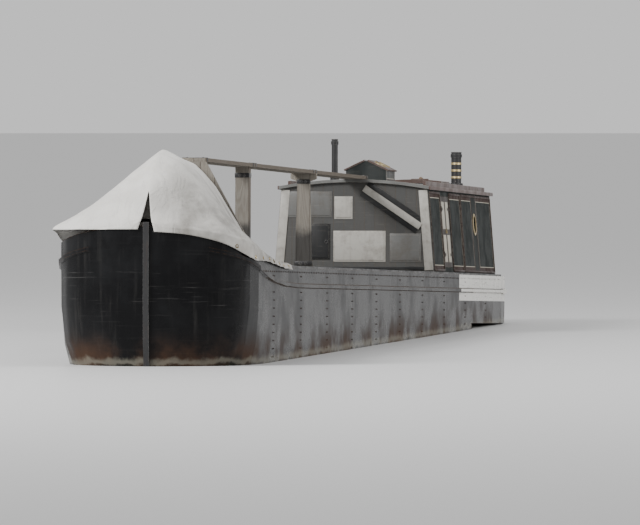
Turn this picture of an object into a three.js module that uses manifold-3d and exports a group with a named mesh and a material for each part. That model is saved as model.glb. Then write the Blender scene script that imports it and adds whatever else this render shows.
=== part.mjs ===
// A full-length working motor narrowboat, empty, in millimetres.
// +X is the bow, +Y is port, +Z is up. The base of the flat bottom is z = 0.
// Lengths along the hull are given as the distance aft of the stem head.
import * as THREE from "three";
import { mergeVertices } from "three/addons/utils/BufferGeometryUtils.js";
import Module from "manifold-3d";

// Driving dimensions of the hull
const HULL_LENGTH = 21340;
const STEM_BAR_PROUD = 28;
const STERN_FENDER_REACH = 340;
const STEM_X = (HULL_LENGTH + STERN_FENDER_REACH + STEM_BAR_PROUD) / 2 - STEM_BAR_PROUD;
const HALF_BEAM = 1040;
const HALF_BASE = 1000;
const BOTTOM_THICK = 60;
const SIDE_THICK = 40;
const LOW_SHEER = 1290;
const STEM_RISE = 410;
const SHEER_RUN = 4500;
const BOW_RUN = 850;
const BASE_RUN = 1600;
const STEM_RAKE = 120;
const RAKE_RUN = 850;
const STEM_HALF = 45;

// Places along the hull, aft of the stem head
const FOREPEAK_END = 1300;
const MAST_AT = 6300;
const STAND_AT = 10300;
const CABIN_FRONT = 14300;
const SWIM_START = 17000;
const CABIN_REAR = 19800;
const SWIM_END = 20550;
const PROPELLER_AT = 20760;
const STOCK_AT = 21000;

// Heights above the base
const UXTER_Z = 700;
const UXTER_TOP = 715;
const GUNWALE_THICK = 20;
const GUNWALE_WIDE = 135;
const HOLD_FLOOR_Z = 130;
const CABIN_SOLE_Z = 420;
const CABIN_EDGE_Z = 2300;
const ROOF_CROWN = 80;
const ROOF_THICK = 35;
const ROOF_LIFT = 0.8;
const GAP = 0.3;
const PLANK_Z = CABIN_EDGE_Z + ROOF_LIFT + ROOF_CROWN + ROOF_THICK + GAP;
const SHAFT_Z = 360;

// The cabin's walls
const CABIN_FOOT_HALF = 962;
const CABIN_TOP_HALF = 882;
const WALL = 38;
const BULKHEAD = 40;

const SEAT = BOTTOM_THICK + GAP;

const wasm = await Module();
wasm.setup();

// The signed volume of a closed mesh, negative where its faces point inwards.
function signedVolume(geometry) {
  const place = geometry.getAttribute("position");
  const index = geometry.index.array;
  const [a, b, c] = [new THREE.Vector3(), new THREE.Vector3(), new THREE.Vector3()];
  let sum = 0;
  for (let i = 0; i < index.length; i += 3) {
    a.fromBufferAttribute(place, index[i]);
    b.fromBufferAttribute(place, index[i + 1]);
    c.fromBufferAttribute(place, index[i + 2]);
    sum += a.dot(b.cross(c)) / 6;
  }
  return sum;
}

// A geometry with its shared corners merged and every face pointing out.
function closed(geometry) {
  const bare = geometry.clone();
  bare.deleteAttribute("normal");
  bare.deleteAttribute("uv");
  const merged = mergeVertices(bare, 1e-3);
  if (signedVolume(merged) < 0) {
    const index = merged.index.array;
    for (let i = 0; i < index.length; i += 3) {
      [index[i + 1], index[i + 2]] = [index[i + 2], index[i + 1]];
    }
  }
  return merged;
}

function toSolid(geometry) {
  const merged = closed(geometry);
  return new wasm.Manifold(new wasm.Mesh({
    numProp: 3,
    vertProperties: merged.getAttribute("position").array,
    triVerts: new Uint32Array(merged.index.array),
  }));
}

function toGeometry(body) {
  const mesh = body.getMesh();
  const geometry = new THREE.BufferGeometry();
  geometry.setAttribute("position", new THREE.BufferAttribute(mesh.vertProperties, 3));
  geometry.setIndex(new THREE.BufferAttribute(mesh.triVerts, 1));
  return geometry;
}

function join(...geometries) {
  const [first, ...rest] = geometries.map(toSolid);
  return toGeometry(rest.reduce((sum, next) => sum.add(next), first));
}

function cut(geometry, ...tools) {
  return toGeometry(tools.map(toSolid).reduce((rest, tool) => rest.subtract(tool), toSolid(geometry)));
}

const fromStem = (aft) => STEM_X - aft;

// A block between two distances aft, two y and two z.
function block(fore, aft, y0, y1, z0, z1) {
  const made = new THREE.BoxGeometry(aft - fore, y1 - y0, z1 - z0);
  return made.translate(fromStem((fore + aft) / 2), (y0 + y1) / 2, (z0 + z1) / 2);
}

// A round bar standing on z0 at a distance aft.
function upright(aft, y, z0, z1, radius, top = radius, sides = 16) {
  const made = new THREE.CylinderGeometry(top, radius, z1 - z0, sides);
  return made.rotateX(Math.PI / 2).translate(fromStem(aft), y, (z0 + z1) / 2);
}

// A round bar lying along the boat.
function lengthwise(fore, aft, y, z, radius, sides = 16) {
  const made = new THREE.CylinderGeometry(radius, radius, aft - fore, sides);
  return made.rotateZ(Math.PI / 2).translate(fromStem((fore + aft) / 2), y, z);
}

// A round bar from side to side.
function crosswise(aft, z, half, radius, sides = 12) {
  return new THREE.CylinderGeometry(radius, radius, 2 * half, sides).translate(fromStem(aft), 0, z);
}

// A box has the squares of its upper and lower face cut on opposite diagonals. This turns the
// lower ones round, so that a thin sheet keeps its thickness where it's warped.
const LOWER_FACE = 5;

function cutAlike(box) {
  const lower = box.groups[LOWER_FACE];
  const corners = box.getIndex().array;
  for (let at = lower.start; at < lower.start + lower.count; at += 6) {
    const [a, b, d, , c] = corners.slice(at, at + 6);
    corners.set([a, b, c, a, c, d], at);
  }
}

// A box whose stations run along the hull: place(aft, across 0..1, up 0..1) gives each corner.
function bent(stations, across, up, place, recut = () => {}) {
  const made = new THREE.BoxGeometry(1, 1, 1, stations.length - 1, across, up);
  recut(made);
  const corner = made.getAttribute("position");
  for (let i = 0; i < corner.count; i++) {
    const station = Math.round((corner.getX(i) + 0.5) * (stations.length - 1));
    const spot = place(stations[station], corner.getY(i) + 0.5, corner.getZ(i) + 0.5);
    corner.setXYZ(i, spot[0], spot[1], spot[2]);
  }
  return closed(made);
}

// A slab cut to an outline in the plane across the boat, points given as [y, z].
function frameSlab(points, fore, aft, holes = []) {
  const path = (list) => list.map(([y, z]) => new THREE.Vector2(y, z));
  const shape = new THREE.Shape(path(points));
  for (const hole of holes) {
    shape.holes.push(new THREE.Path(path(hole)));
  }
  const slab = new THREE.ExtrudeGeometry(shape, { depth: aft - fore, bevelEnabled: false });
  slab.rotateX(Math.PI / 2).rotateZ(Math.PI / 2);
  return slab.translate(fromStem(aft), 0, 0);
}

const lerp = THREE.MathUtils.lerp;

// The hull's lines
// Height of the gunwale: level along the hold, rising in a curve to the stem head.
function sheer(aft) {
  const rise = Math.max(0, 1 - aft / SHEER_RUN);
  return LOW_SHEER + STEM_RISE * rise ** 4;
}

// Half-breadth of the bluff bow at the gunwale, and of the finer one at the base.
function topHalf(aft) {
  const left = Math.min(1, Math.max(0, 1 - aft / BOW_RUN));
  return Math.max(STEM_HALF, HALF_BEAM * (1 - left ** 2.3) ** 0.5);
}

function baseHalf(aft) {
  const left = Math.max(0, 1 - (aft - STEM_RAKE) / BASE_RUN);
  return Math.max(STEM_HALF, HALF_BASE * Math.max(0, 1 - left ** 2.3) ** 0.6);
}

// A column of the hull's skin leans back from the stem head to the stem foot.
function baseAft(aft) {
  return aft + STEM_RAKE * Math.max(0, 1 - aft / RAKE_RUN);
}

// A point of the skin: up = 0 on the base, 1 at the gunwale, upright near the top.
function skin(aft, up, z) {
  const full = 1 - (1 - up) ** 5;
  const foot = baseAft(aft);
  return [lerp(foot, aft, full), lerp(baseHalf(foot), topHalf(aft), full), z];
}

const BOW_STATIONS = [0, 25, 70, 140, 240, 380, 560, 850, FOREPEAK_END];
const HOLD_STATIONS = [FOREPEAK_END + GAP, 1800, 2500, 3400, 4500, CABIN_FRONT];
const SKIN_HEIGHTS = [0, 0.06, 0.15, 0.3, 0.55, 1];
const SKIN_LEVELS = SKIN_HEIGHTS.length - 1;
const skinHeight = (up) => SKIN_HEIGHTS[Math.round(up * SKIN_LEVELS)];

// The skin between two levels is flat, so a piece that lies on it follows the flat.
function skinFace(aft, z) {
  const up = (z - SEAT) / (sheer(aft) - SEAT);
  const high = Math.max(1, SKIN_HEIGHTS.findIndex((height, k) => height >= up || k === SKIN_LEVELS));
  const [low, top] = [SKIN_HEIGHTS[high - 1], SKIN_HEIGHTS[high]];
  const [u0, half0] = skin(aft, low, z);
  const [u1, half1] = skin(aft, top, z);
  const part = (up - low) / (top - low);
  return [lerp(u0, u1, part), lerp(half0, half1, part), z];
}

// The top of the gunwale strip, level between two stations of the hold.
function gunwaleFace(aft) {
  const next = HOLD_STATIONS.findIndex((station) => station >= aft);
  const [a, b] = [HOLD_STATIONS[next - 1], HOLD_STATIONS[next]];
  return lerp(sheer(a), sheer(b), (aft - a) / (b - a)) + GUNWALE_THICK;
}

// A rubbing guard: an iron strip along one side, a little below the gunwale, let into the skin.
const GUARD_DROP = 190;
const GUARD_TALL = 64;
const GUARD_PROUD = 26;
const GUARD_SUNK = 15;

function guardStrip(stations, side) {
  return bent(stations, 1, 1, (aft, across, up) => {
    const tall = GUARD_TALL * (1 - 0.45 * across);
    const z = sheer(aft) - GUARD_DROP + tall * (up - 0.5);
    const [u, half] = skinFace(aft, z);
    const ahead = skinFace(aft + 40, z);
    const slope = Math.atan2(ahead[1] - half, ahead[0] - u);
    const out = lerp(-GUARD_SUNK, GUARD_PROUD, across) / Math.cos(slope);
    return [fromStem(u), side * (half + out), z];
  });
}

// Hull pieces
// The flat bottom: the base outline of both sides, pointed at the stem foot and the swim's end.
function bottomPlate() {
  const half = [];
  for (const aft of [STEM_RAKE, 145, 190, 260, 360, 500, 700, 1000, 1350, 1750]) {
    half.push([fromStem(aft), baseHalf(aft) - 1]);
  }
  for (const along of SWIM_STEPS) {
    half.push([fromStem(lerp(SWIM_START, SWIM_END, along)), swimHalf(along) - 1]);
  }
  const outline = [...half, ...half.map(([x, y]) => [x, -y]).reverse()];
  const shape = new THREE.Shape(outline.map(([x, y]) => new THREE.Vector2(x, y)));
  return new THREE.ExtrudeGeometry(shape, { depth: BOTTOM_THICK, bevelEnabled: false });
}

// The decked fore end, one block from stem to the first hold bulkhead.
function foreEnd() {
  const body = bent(BOW_STATIONS, 2, SKIN_LEVELS, (aft, across, up) => {
    const height = skinHeight(up);
    const [u, half, z] = skin(aft, height, lerp(SEAT, sheer(aft), height));
    return [fromStem(u), half * (2 * across - 1), z];
  });
  const guarded = BOW_STATIONS.filter((aft) => aft > 100);
  return join(body, guardStrip(guarded, 1), guardStrip(guarded, -1));
}

// The hold's ribs: flat iron frames inside each side, with a wide knee standing on the floor.
const RIBS = { fore: 1850, aft: 13900, spacing: 640, thick: 34, deep: 46, knee: 130, kneeTop: 520 };
const RIB_CLEAR = 150;

function holdRib(aft, side) {
  const heights = SKIN_HEIGHTS.slice(1, -1).map((height) => lerp(SEAT, LOW_SHEER, height));
  const levels = [HOLD_FLOOR_Z + GAP, ...heights.filter((z) => z > HOLD_FLOOR_Z + 5), LOW_SHEER - GAP];
  const outer = levels.map((z) => [side * (skinFace(aft, z)[1] - SIDE_THICK / 2), z]);
  const innerAt = (z, deep) => [side * (skinFace(aft, z)[1] - SIDE_THICK - deep), z];
  const inner = [
    innerAt(LOW_SHEER - GAP, RIBS.deep),
    innerAt(RIBS.kneeTop, RIBS.deep),
    innerAt(HOLD_FLOOR_Z + 60, RIBS.knee),
    innerAt(HOLD_FLOOR_Z + GAP, RIBS.knee),
  ];
  return frameSlab([...outer, ...inner], aft - RIBS.thick / 2, aft + RIBS.thick / 2);
}

function holdSide(side) {
  const ribs = [];
  for (let aft = RIBS.fore; aft <= RIBS.aft; aft += RIBS.spacing) {
    if (Math.abs(aft - MAST_AT) > RIB_CLEAR && Math.abs(aft - STAND_AT) > RIB_CLEAR) {
      ribs.push(holdRib(aft, side));
    }
  }
  return join(sideSkin(HOLD_STATIONS, side, SEAT), ...ribs);
}

// One side of the hull from a list of stations, from height z0 up to the gunwale strip.
function sideSkin(stations, side, z0) {
  const skinned = bent(stations, 1, SKIN_LEVELS, (aft, across, up) => {
    const z = lerp(z0, sheer(aft), z0 === SEAT ? skinHeight(up) : up);
    const [u, half] = skinFace(aft, z);
    return [fromStem(u), side * (half - SIDE_THICK * (1 - across)), z];
  });
  return join(skinned, guardStrip(stations, side));
}

// The hull beside the engine room and cabin: full depth, then above the uxter plate only.
function cabinHull(side) {
  const deep = sideSkin([CABIN_FRONT + GAP, SWIM_START - GAP], side, SEAT);
  const shallow = sideSkin([SWIM_START - 200, CABIN_REAR - BULKHEAD - GAP], side, UXTER_Z + GAP);
  return join(deep, shallow);
}

// The swim: the underwater hull narrowing to the stern post, with the cabin's well sunk in it.
const SWIM_STEPS = [0, 0.12, 0.25, 0.4, 0.55, 0.7, 0.85, 1];
const STERN_POST_HALF = 55;

function swimHalf(along) {
  const wave = 0.5 + 0.5 * Math.cos(Math.PI * along);
  return STERN_POST_HALF + (HALF_BASE - STERN_POST_HALF) * wave ** 0.9;
}

const WELL_HALF = 270;
const SHAFT_RADIUS = 25;
const STERN_TUBE_BORE = 25.9;
const STERN_TUBE_DEEP = 420;

function cabinWell() {
  return block(SWIM_START + 120, CABIN_REAR - 700, -WELL_HALF, WELL_HALF, CABIN_SOLE_Z, UXTER_Z + 50);
}

function sternSwim() {
  const body = bent(SWIM_STEPS, 1, 2, (along, across, up) => {
    const half = swimHalf(along) + up * 25 * (1 - along);
    return [fromStem(lerp(SWIM_START, SWIM_END, along)), half * (2 * across - 1), lerp(SEAT, UXTER_Z, up)];
  });
  const bore = lengthwise(SWIM_END - STERN_TUBE_DEEP, SWIM_END + 50, 0, SHAFT_Z, STERN_TUBE_BORE);
  return cut(body, cabinWell(), bore);
}

// The uxter plate: the flat shelf over the swim that carries the cabin's fittings.
function uxterPlate() {
  const half = skinFace(SWIM_START, UXTER_Z)[1] - SIDE_THICK - 2 * GAP;
  const shelf = block(SWIM_START + GAP, CABIN_REAR - BULKHEAD - GAP, -half, half, UXTER_Z + GAP, UXTER_TOP);
  return cut(shelf, cabinWell());
}

// The counter: the rounded stern deck, solid between the uxter plate and the deck.
const COUNTER_STEPS = [0, 0.3, 0.5, 0.65, 0.78, 0.88, 0.95, 1];
const COUNTER_TUCK = 70;
const STOCK_RADIUS = 24;
const RUDDER_TUBE_BORE = 27;

function counterHalf(along) {
  return Math.max(170, HALF_BEAM * (1 - along ** 2.8) ** 0.5);
}

function counter() {
  const front = CABIN_REAR - BULKHEAD;
  const body = bent(COUNTER_STEPS, 2, 2, (along, across, up) => {
    const tuck = COUNTER_TUCK * (1 - up) ** 2;
    const u = lerp(front, HULL_LENGTH - tuck * along, along);
    const half = counterHalf(along) - tuck * along ** 2;
    return [fromStem(u), half * (2 * across - 1), lerp(UXTER_Z + GAP, LOW_SHEER, up)];
  });
  const guard = bent(COUNTER_STEPS, 2, 1, (along, across, up) => {
    const u = lerp(front, HULL_LENGTH + GUARD_PROUD, along);
    const half = counterHalf(along) + GUARD_PROUD;
    return [fromStem(u), half * (2 * across - 1), LOW_SHEER - GUARD_DROP + GUARD_TALL * (up - 0.5)];
  });
  const tube = upright(STOCK_AT, 0, UXTER_Z - 50, LOW_SHEER + 50, RUDDER_TUBE_BORE);
  return cut(join(body, guard), tube);
}

// The gunwale strip on top of one side, from the fore end to the stern deck.
function gunwale(side) {
  const stations = [...HOLD_STATIONS, CABIN_REAR - BULKHEAD - GAP];
  return bent(stations, 1, 1, (aft, across, up) => {
    const half = topHalf(aft) - GUNWALE_WIDE * (1 - across);
    return [fromStem(aft), side * half, sheer(aft) + lerp(GAP, GUNWALE_THICK, up)];
  });
}

// The stem bar, an iron strip down the cutwater.
const STEM_BAR_HALF = 30;
const STEM_HEAD = 40;

function stemFace(z) {
  return skinFace(0, Math.min(z, sheer(0)))[0] - STEM_BAR_PROUD;
}

function stemBar() {
  const top = sheer(0);
  const heights = [];
  for (const height of SKIN_HEIGHTS) {
    heights.push(lerp(SEAT, top, height));
  }
  return bent([...heights, top + STEM_HEAD], 1, 1, (z, across, out) => {
    const u = stemFace(z) + lerp(STEM_BAR_PROUD - GAP, 0, out);
    return [fromStem(u), STEM_BAR_HALF * (2 * across - 1), z];
  });
}

// The skeg: the iron bar under the propeller that carries the rudder's foot.
const SKEG_HALF = 35;
const SKEG_END = STOCK_AT + 60;
const PINTLE_RADIUS = 16;
const CUP_FLOOR = 20;

function skeg() {
  const bar = block(SWIM_END + GAP, SKEG_END, -SKEG_HALF, SKEG_HALF, 0, 50);
  const cup = upright(STOCK_AT, 0, 0, 50, SKEG_HALF + 20);
  const hole = upright(STOCK_AT, 0, CUP_FLOOR, 80, PINTLE_RADIUS + 2);
  return cut(join(bar, cup), hole);
}

// Fore end fittings
// The mooring stud: a T of round bar on a foot plate, on the foredeck.
const BOW_STUD_AT = 430;
const BOW_STUD_TALL = 190;

function bowStud() {
  const deck = sheer(250) + GAP;
  const foot = block(BOW_STUD_AT - 75, BOW_STUD_AT + 75, -85, 85, deck - 80, deck + 14);
  const post = upright(BOW_STUD_AT, 0, deck, deck + BOW_STUD_TALL, 34);
  const bar = crosswise(BOW_STUD_AT, deck + BOW_STUD_TALL - 45, 130, 20);
  return cut(join(foot, post, bar), foreDeckBelow());
}

// Everything under the foredeck, a hair above its face, to seat a fitting on the slope.
function foreDeckBelow() {
  return bent(BOW_STATIONS, 1, 1, (aft, across, up) => {
    return [fromStem(aft), HALF_BEAM * (2 * across - 1), lerp(SEAT, sheer(aft) + GAP, up)];
  });
}

// The canvas over the fore end: a tent from the stem head to the cratch frame.
// Each station names its foot's distance aft, the ridge's distance aft and height, and how far
// each side's cloth stands off the straight slope, bellied out where positive and sagging where not.
const CANVAS_STATIONS = [
  { foot: -20, ridge: 120, height: 2060, port: 0, starboard: 0 },
  { foot: 25, ridge: 200, height: 2150, port: 10, starboard: 0 },
  { foot: 70, ridge: 290, height: 2232, port: 20, starboard: -10 },
  { foot: 140, ridge: 390, height: 2310, port: 40, starboard: -20 },
  { foot: 240, ridge: 510, height: 2385, port: 60, starboard: -30 },
  { foot: 380, ridge: 640, height: 2440, port: 70, starboard: -40 },
  { foot: 560, ridge: 790, height: 2485, port: 70, starboard: -50 },
  { foot: 850, ridge: 960, height: 2520, port: 60, starboard: -60 },
  { foot: FOREPEAK_END, ridge: FOREPEAK_END, height: 2500, port: 10, starboard: -90 },
  { foot: 1800, ridge: 1800, height: 2465, port: -60, starboard: -120 },
  { foot: 2500, ridge: 2500, height: 2425, port: -160, starboard: -170 },
  { foot: 2900, ridge: 2900, height: 2405, port: -200, starboard: -200 },
];
const CANVAS_END = 2900;
const CANVAS_FALLS = 5;
const CANVAS_SKIN = 8;
const CANVAS_SWELL = { port: 60, starboard: 0, aft: 145 };
const CANVAS_EDGE = { out: 20, up: 34 };
const CANVAS_FOOT = { out: 40, lap: 28, portAtStem: 1640, portAft: 1350, run: 560 };
const CANVAS_FLARE = { level: 1665, up: 45, out: 150, run: 320, levelTo: 450, lappedFrom: 1800 };

// To port the canvas is pulled down over the gunwale. To starboard its foot stands off the hull
// and stays level round the bow, and only comes down to the gunwale farther aft.
function canvasEdge(foot, side, lap) {
  const at = Math.max(0, foot);
  const lapped = sheer(at) - CANVAS_FOOT.lap;
  const out = lerp(CANVAS_EDGE.out, CANVAS_FOOT.out, lap);
  if (side > 0) {
    const pulled = lerp(CANVAS_FOOT.portAtStem, CANVAS_FOOT.portAft, Math.min(1, at / CANVAS_FOOT.run));
    const footZ = Math.min(lapped, pulled);
    return [topHalf(foot) + out, lerp(sheer(at) + CANVAS_EDGE.up, footZ, lap)];
  }
  const { level, up, run, levelTo, lappedFrom } = CANVAS_FLARE;
  const flare = CANVAS_FLARE.out * Math.min(1, at / run);
  const footZ = lerp(level, lapped, THREE.MathUtils.smoothstep(foot, levelTo, lappedFrom));
  return [Math.min(HALF_BEAM, topHalf(foot) + flare) + out, footZ + up * (1 - lap)];
}

function canvasPoint(station, across, inward) {
  const step = Math.abs(across * 2 - 1) * (CANVAS_FALLS + 1);
  const side = across < 0.5 ? -1 : 1;
  const down = Math.min(1, step / CANVAS_FALLS);
  const lap = Math.max(0, step - CANVAS_FALLS);
  const [edge, edgeZ] = canvasEdge(station.foot, side, lap);
  const belly = side > 0 ? station.port : station.starboard;
  const begun = side > 0 ? CANVAS_SWELL.port : CANVAS_SWELL.starboard;
  const swell = lerp(begun, CANVAS_SWELL.aft, Math.max(0, station.foot) / CANVAS_END);
  const off = belly * Math.sin(Math.PI * down) + swell * Math.sin(2 * Math.PI * down);
  const rests = sheer(Math.max(0, station.foot)) + CANVAS_EDGE.up;
  const z = lap > 0 ? edgeZ : Math.max(rests, lerp(station.height, edgeZ, down) + off);
  const under = inward * CANVAS_SKIN * (1.4 - 0.4 * down) * (1 - lap);
  const half = edge - CANVAS_SKIN * inward;
  return [fromStem(lerp(station.ridge, station.foot, down)), side * half * down, z - under];
}

function canvasCover() {
  const place = (station, across, up) => canvasPoint(station, across, 1 - up);
  return bent(CANVAS_STATIONS, 2 * CANVAS_FALLS + 2, 1, place, cutAlike);
}

// A cratch frame: a triangular timber frame across the boat that holds the canvas up.
// Its foot runs out to both sides, its head is as wide as what lies on it.
const CRATCH_THICK = 40;
const CRATCH_RAIL = 0.45;

function cratchFrame(aft, foot, top, half, shoulder, headHalf) {
  const outline = [[half, foot], [half, foot + 25], [shoulder, foot + 60], [headHalf, top]];
  const sill = foot + 110;
  const lintel = lerp(foot, top, 0.66);
  const doorway = [[half * CRATCH_RAIL, sill], [half * 0.2, lintel]];
  const bothSides = (list) => [...list, ...list.map(([y, z]) => [-y, z]).reverse()];
  return frameSlab(bothSides(outline), aft, aft + CRATCH_THICK, [bothSides(doorway)]);
}

const FORE_FRAME_AT = 945;
const FORE_FRAME_TOP = 2496;
const CRATCH_AT = CANVAS_END + GAP;

function foreFrame() {
  const foot = sheer(FORE_FRAME_AT + CRATCH_THICK) - 10;
  const frame = cratchFrame(FORE_FRAME_AT, foot, FORE_FRAME_TOP, 730, 660, 12);
  return cut(frame, foreDeckBelow());
}

function cratchBoard() {
  return cratchFrame(CRATCH_AT, gunwaleFace(CRATCH_AT) + GAP, PLANK_Z - GAP, 1000, 700, PLANK_HALF);
}

// The hold
// Floor boards on the bottom plate, from the first bulkhead to the cabin.
function holdFloor() {
  const stations = [FOREPEAK_END + 20, 1750, CABIN_FRONT - 20];
  return bent(stations, 1, 1, (aft, across, up) => {
    const half = baseHalf(aft) - SIDE_THICK - 25;
    return [fromStem(aft), half * (2 * across - 1), lerp(SEAT, HOLD_FLOOR_Z, up)];
  });
}

// A timber beam across the hold, its ends on the hull's inner skin, under the gunwale strips.
const BEAM_TOP = LOW_SHEER - GAP;

function holdBeam(aft, wide, deep) {
  const half = skinFace(aft, BEAM_TOP - deep)[1] - SIDE_THICK - 2 * GAP;
  return block(aft - wide / 2, aft + wide / 2, -half, half, BEAM_TOP - deep, BEAM_TOP);
}

// The mast: a square box timber stepped on the floor just ahead of its beam.
const MAST_SIDE = 150;
const MAST_TOP = PLANK_Z - GAP;
const BEAM_WIDE = 190;

function mast() {
  const aft = MAST_AT - BEAM_WIDE / 2 - GAP - MAST_SIDE / 2;
  const side = MAST_SIDE / 2;
  const trunk = block(aft - side, aft + side, -side, side, HOLD_FLOOR_Z + GAP, MAST_TOP);
  const step = block(aft - 150, aft + 150, -140, 140, HOLD_FLOOR_Z + GAP, HOLD_FLOOR_Z + 90);
  return join(trunk, step);
}

// A plank stand: a tapered post on the floor, with a head that the planks lie on.
const STAND_THICK = 60;

function plankStand() {
  const aft = STAND_AT + BEAM_WIDE / 2 + GAP;
  const half = [[130, HOLD_FLOOR_Z + GAP], [70, MAST_TOP - 90], [150, MAST_TOP - 60], [150, MAST_TOP]];
  return frameSlab(mirrored(half), aft, aft + STAND_THICK);
}

// The top planks: a gangway of two boards battened together, laid end to end over the hold.
const PLANK_THICK = 40;
const PLANK_HALF = 130;

function topPlank(fore, aft) {
  return block(fore, aft, -PLANK_HALF, PLANK_HALF, PLANK_Z, PLANK_Z + PLANK_THICK);
}

// The cabin
// Both walls lean in. On a wall, u is the distance aft, r runs up its slope and out is the
// distance out of its outer face.
const LEAN_RUN = CABIN_FOOT_HALF - CABIN_TOP_HALF;
const DECK_TOP = LOW_SHEER + GUNWALE_THICK;
const LEAN = Math.atan(LEAN_RUN / (CABIN_EDGE_Z - DECK_TOP));
const WALL_FOOT_Z = DECK_TOP + GAP + WALL * Math.sin(LEAN);
const WALL_TALL = (CABIN_EDGE_Z - WALL_FOOT_Z) / Math.cos(LEAN);
const WALL_FORE = CABIN_FRONT + BULKHEAD + GAP;
const WALL_AFT = CABIN_REAR - BULKHEAD - GAP;

function onWall(geometry, side) {
  const place = new THREE.Matrix4().makeBasis(
    new THREE.Vector3(-1, 0, 0),
    new THREE.Vector3(0, -side * Math.sin(LEAN), Math.cos(LEAN)),
    new THREE.Vector3(0, side * Math.cos(LEAN), Math.sin(LEAN)),
  );
  place.setPosition(STEM_X, side * CABIN_FOOT_HALF, WALL_FOOT_Z);
  return closed(geometry.applyMatrix4(place));
}

function wallHalf(z) {
  return CABIN_FOOT_HALF - (z - WALL_FOOT_Z) * Math.tan(LEAN);
}

function rectangle(u0, u1, r0, r1) {
  return [[u0, r0], [u1, r0], [u1, r1], [u0, r1]].map(([u, r]) => new THREE.Vector2(u, r));
}

// The engine room's side doorways and their pairs of leaves
const SIDE_DOOR = { fore: 15300, aft: 15980, low: 60, high: 920, clear: 5, thick: 32 };
const PORTHOLE = { at: 18200, up: 610, radius: 115 };

// Door hinges: a barrel on the hinge line, proud of the face, and a strap let into the leaf.
const HINGE = { proud: 8, radius: 7.7, edge: 2, tall: 70, strap: 150, wide: 36, sunk: 4, thick: 5 };
const HINGE_LEVELS = [0.18, 0.82];

function cabinWall(side) {
  const shape = new THREE.Shape(rectangle(WALL_FORE, WALL_AFT, 0, WALL_TALL));
  const { fore, aft, low, high } = SIDE_DOOR;
  shape.holes.push(new THREE.Path(rectangle(fore, aft, low, high)));
  shape.holes.push(new THREE.Path().absarc(PORTHOLE.at, PORTHOLE.up, PORTHOLE.radius, 0, 2 * Math.PI));
  const slab = new THREE.ExtrudeGeometry(shape, { depth: WALL, bevelEnabled: false, curveSegments: 12 });
  return onWall(slab.translate(0, 0, -WALL), side);
}

function sideDoorLeaf(side, isFore) {
  const middle = (SIDE_DOOR.fore + SIDE_DOOR.aft) / 2;
  const { fore, aft, low, high, clear, thick } = SIDE_DOOR;
  const [u0, u1] = isFore ? [fore + clear, middle - clear / 2] : [middle + clear / 2, aft - clear];
  const shape = new THREE.Shape(rectangle(u0, u1, low + clear, high - clear));
  const leaf = new THREE.ExtrudeGeometry(shape, { depth: thick, bevelEnabled: false }).translate(0, 0, -thick);
  const line = isFore ? fore + HINGE.edge : aft - HINGE.edge;
  const inwards = isFore ? 1 : -1;
  const hinges = HINGE_LEVELS.flatMap((level) => {
    const r = lerp(low, high, level);
    const barrel = new THREE.CylinderGeometry(HINGE.radius, HINGE.radius, HINGE.tall, 12);
    const strap = new THREE.BoxGeometry(HINGE.strap, HINGE.wide, HINGE.sunk + HINGE.thick);
    return [
      barrel.translate(line, r, HINGE.proud),
      strap.translate(line + inwards * (HINGE.edge + 2 + HINGE.strap / 2), r, (HINGE.thick - HINGE.sunk) / 2),
    ];
  });
  return onWall(join(leaf, ...hinges), side);
}

// The roof: cambered, with the hatchway open at its after end and a skylight over the engine.
const ROOF_HALF = 905;
const ROOF_STEPS = 5;
const ROOF_FORE = CABIN_FRONT - 50;
const ROOF_AFT = CABIN_REAR + 40;
const HATCHWAY = { fore: 19150, half: 300 };
const SKYLIGHT = { fore: 15300, aft: 15900, half: 190 };

function roofUnder(y) {
  return CABIN_EDGE_Z + ROOF_LIFT + ROOF_CROWN * (1 - (y / CABIN_TOP_HALF) ** 2);
}

// The height of the roof's flat facets at any y, for what lies on them.
function roofFace(y) {
  const step = Math.abs(y) / ROOF_HALF * ROOF_STEPS;
  const low = Math.min(ROOF_STEPS - 1, Math.floor(step));
  const at = (k) => roofUnder(ROOF_HALF * k / ROOF_STEPS) + ROOF_THICK;
  return lerp(at(low), at(low + 1), step - low);
}

const RAIL = { fore: 18500, inner: 305, wide: 30, top: 2442 };

function cabinRoof() {
  const deck = bent([ROOF_FORE, ROOF_AFT], 2 * ROOF_STEPS, 1, (aft, across, up) => {
    const y = ROOF_HALF * (2 * across - 1);
    return [fromStem(aft), y, roofUnder(y) + ROOF_THICK * up];
  });
  const runners = [1, -1].map((side) => {
    const [y0, y1] = [RAIL.inner, RAIL.inner + RAIL.wide].map((y) => side * y).sort((a, b) => a - b);
    return block(RAIL.fore, ROOF_AFT, y0, y1, roofUnder(RAIL.inner) + 5, RAIL.top);
  });
  const holes = [{ ...HATCHWAY, aft: ROOF_AFT + 50 }, SKYLIGHT].map(({ fore, aft, half }) => {
    return block(fore, aft, -half, half, CABIN_EDGE_Z, RAIL.top + 50);
  });
  return cut(join(deck, ...runners), ...holes);
}

// All that lies under the roof's face, a hair above it, to seat a fitting on the camber.
function underRoofFace() {
  return bent([ROOF_FORE, ROOF_AFT], 2 * ROOF_STEPS, 1, (aft, across, up) => {
    const y = ROOF_HALF * (2 * across - 1);
    return [fromStem(aft), y, lerp(CABIN_EDGE_Z - 200, roofUnder(y) + ROOF_THICK + GAP, up)];
  });
}

function handrail(side) {
  const [inner, wide, tall] = [800, 34, 52];
  return bent([CABIN_FRONT + 200, CABIN_REAR - 120], 1, 1, (aft, across, up) => {
    const y = inner + wide * across;
    return [fromStem(aft), side * y, roofFace(y) + lerp(GAP, tall, up)];
  });
}

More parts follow.
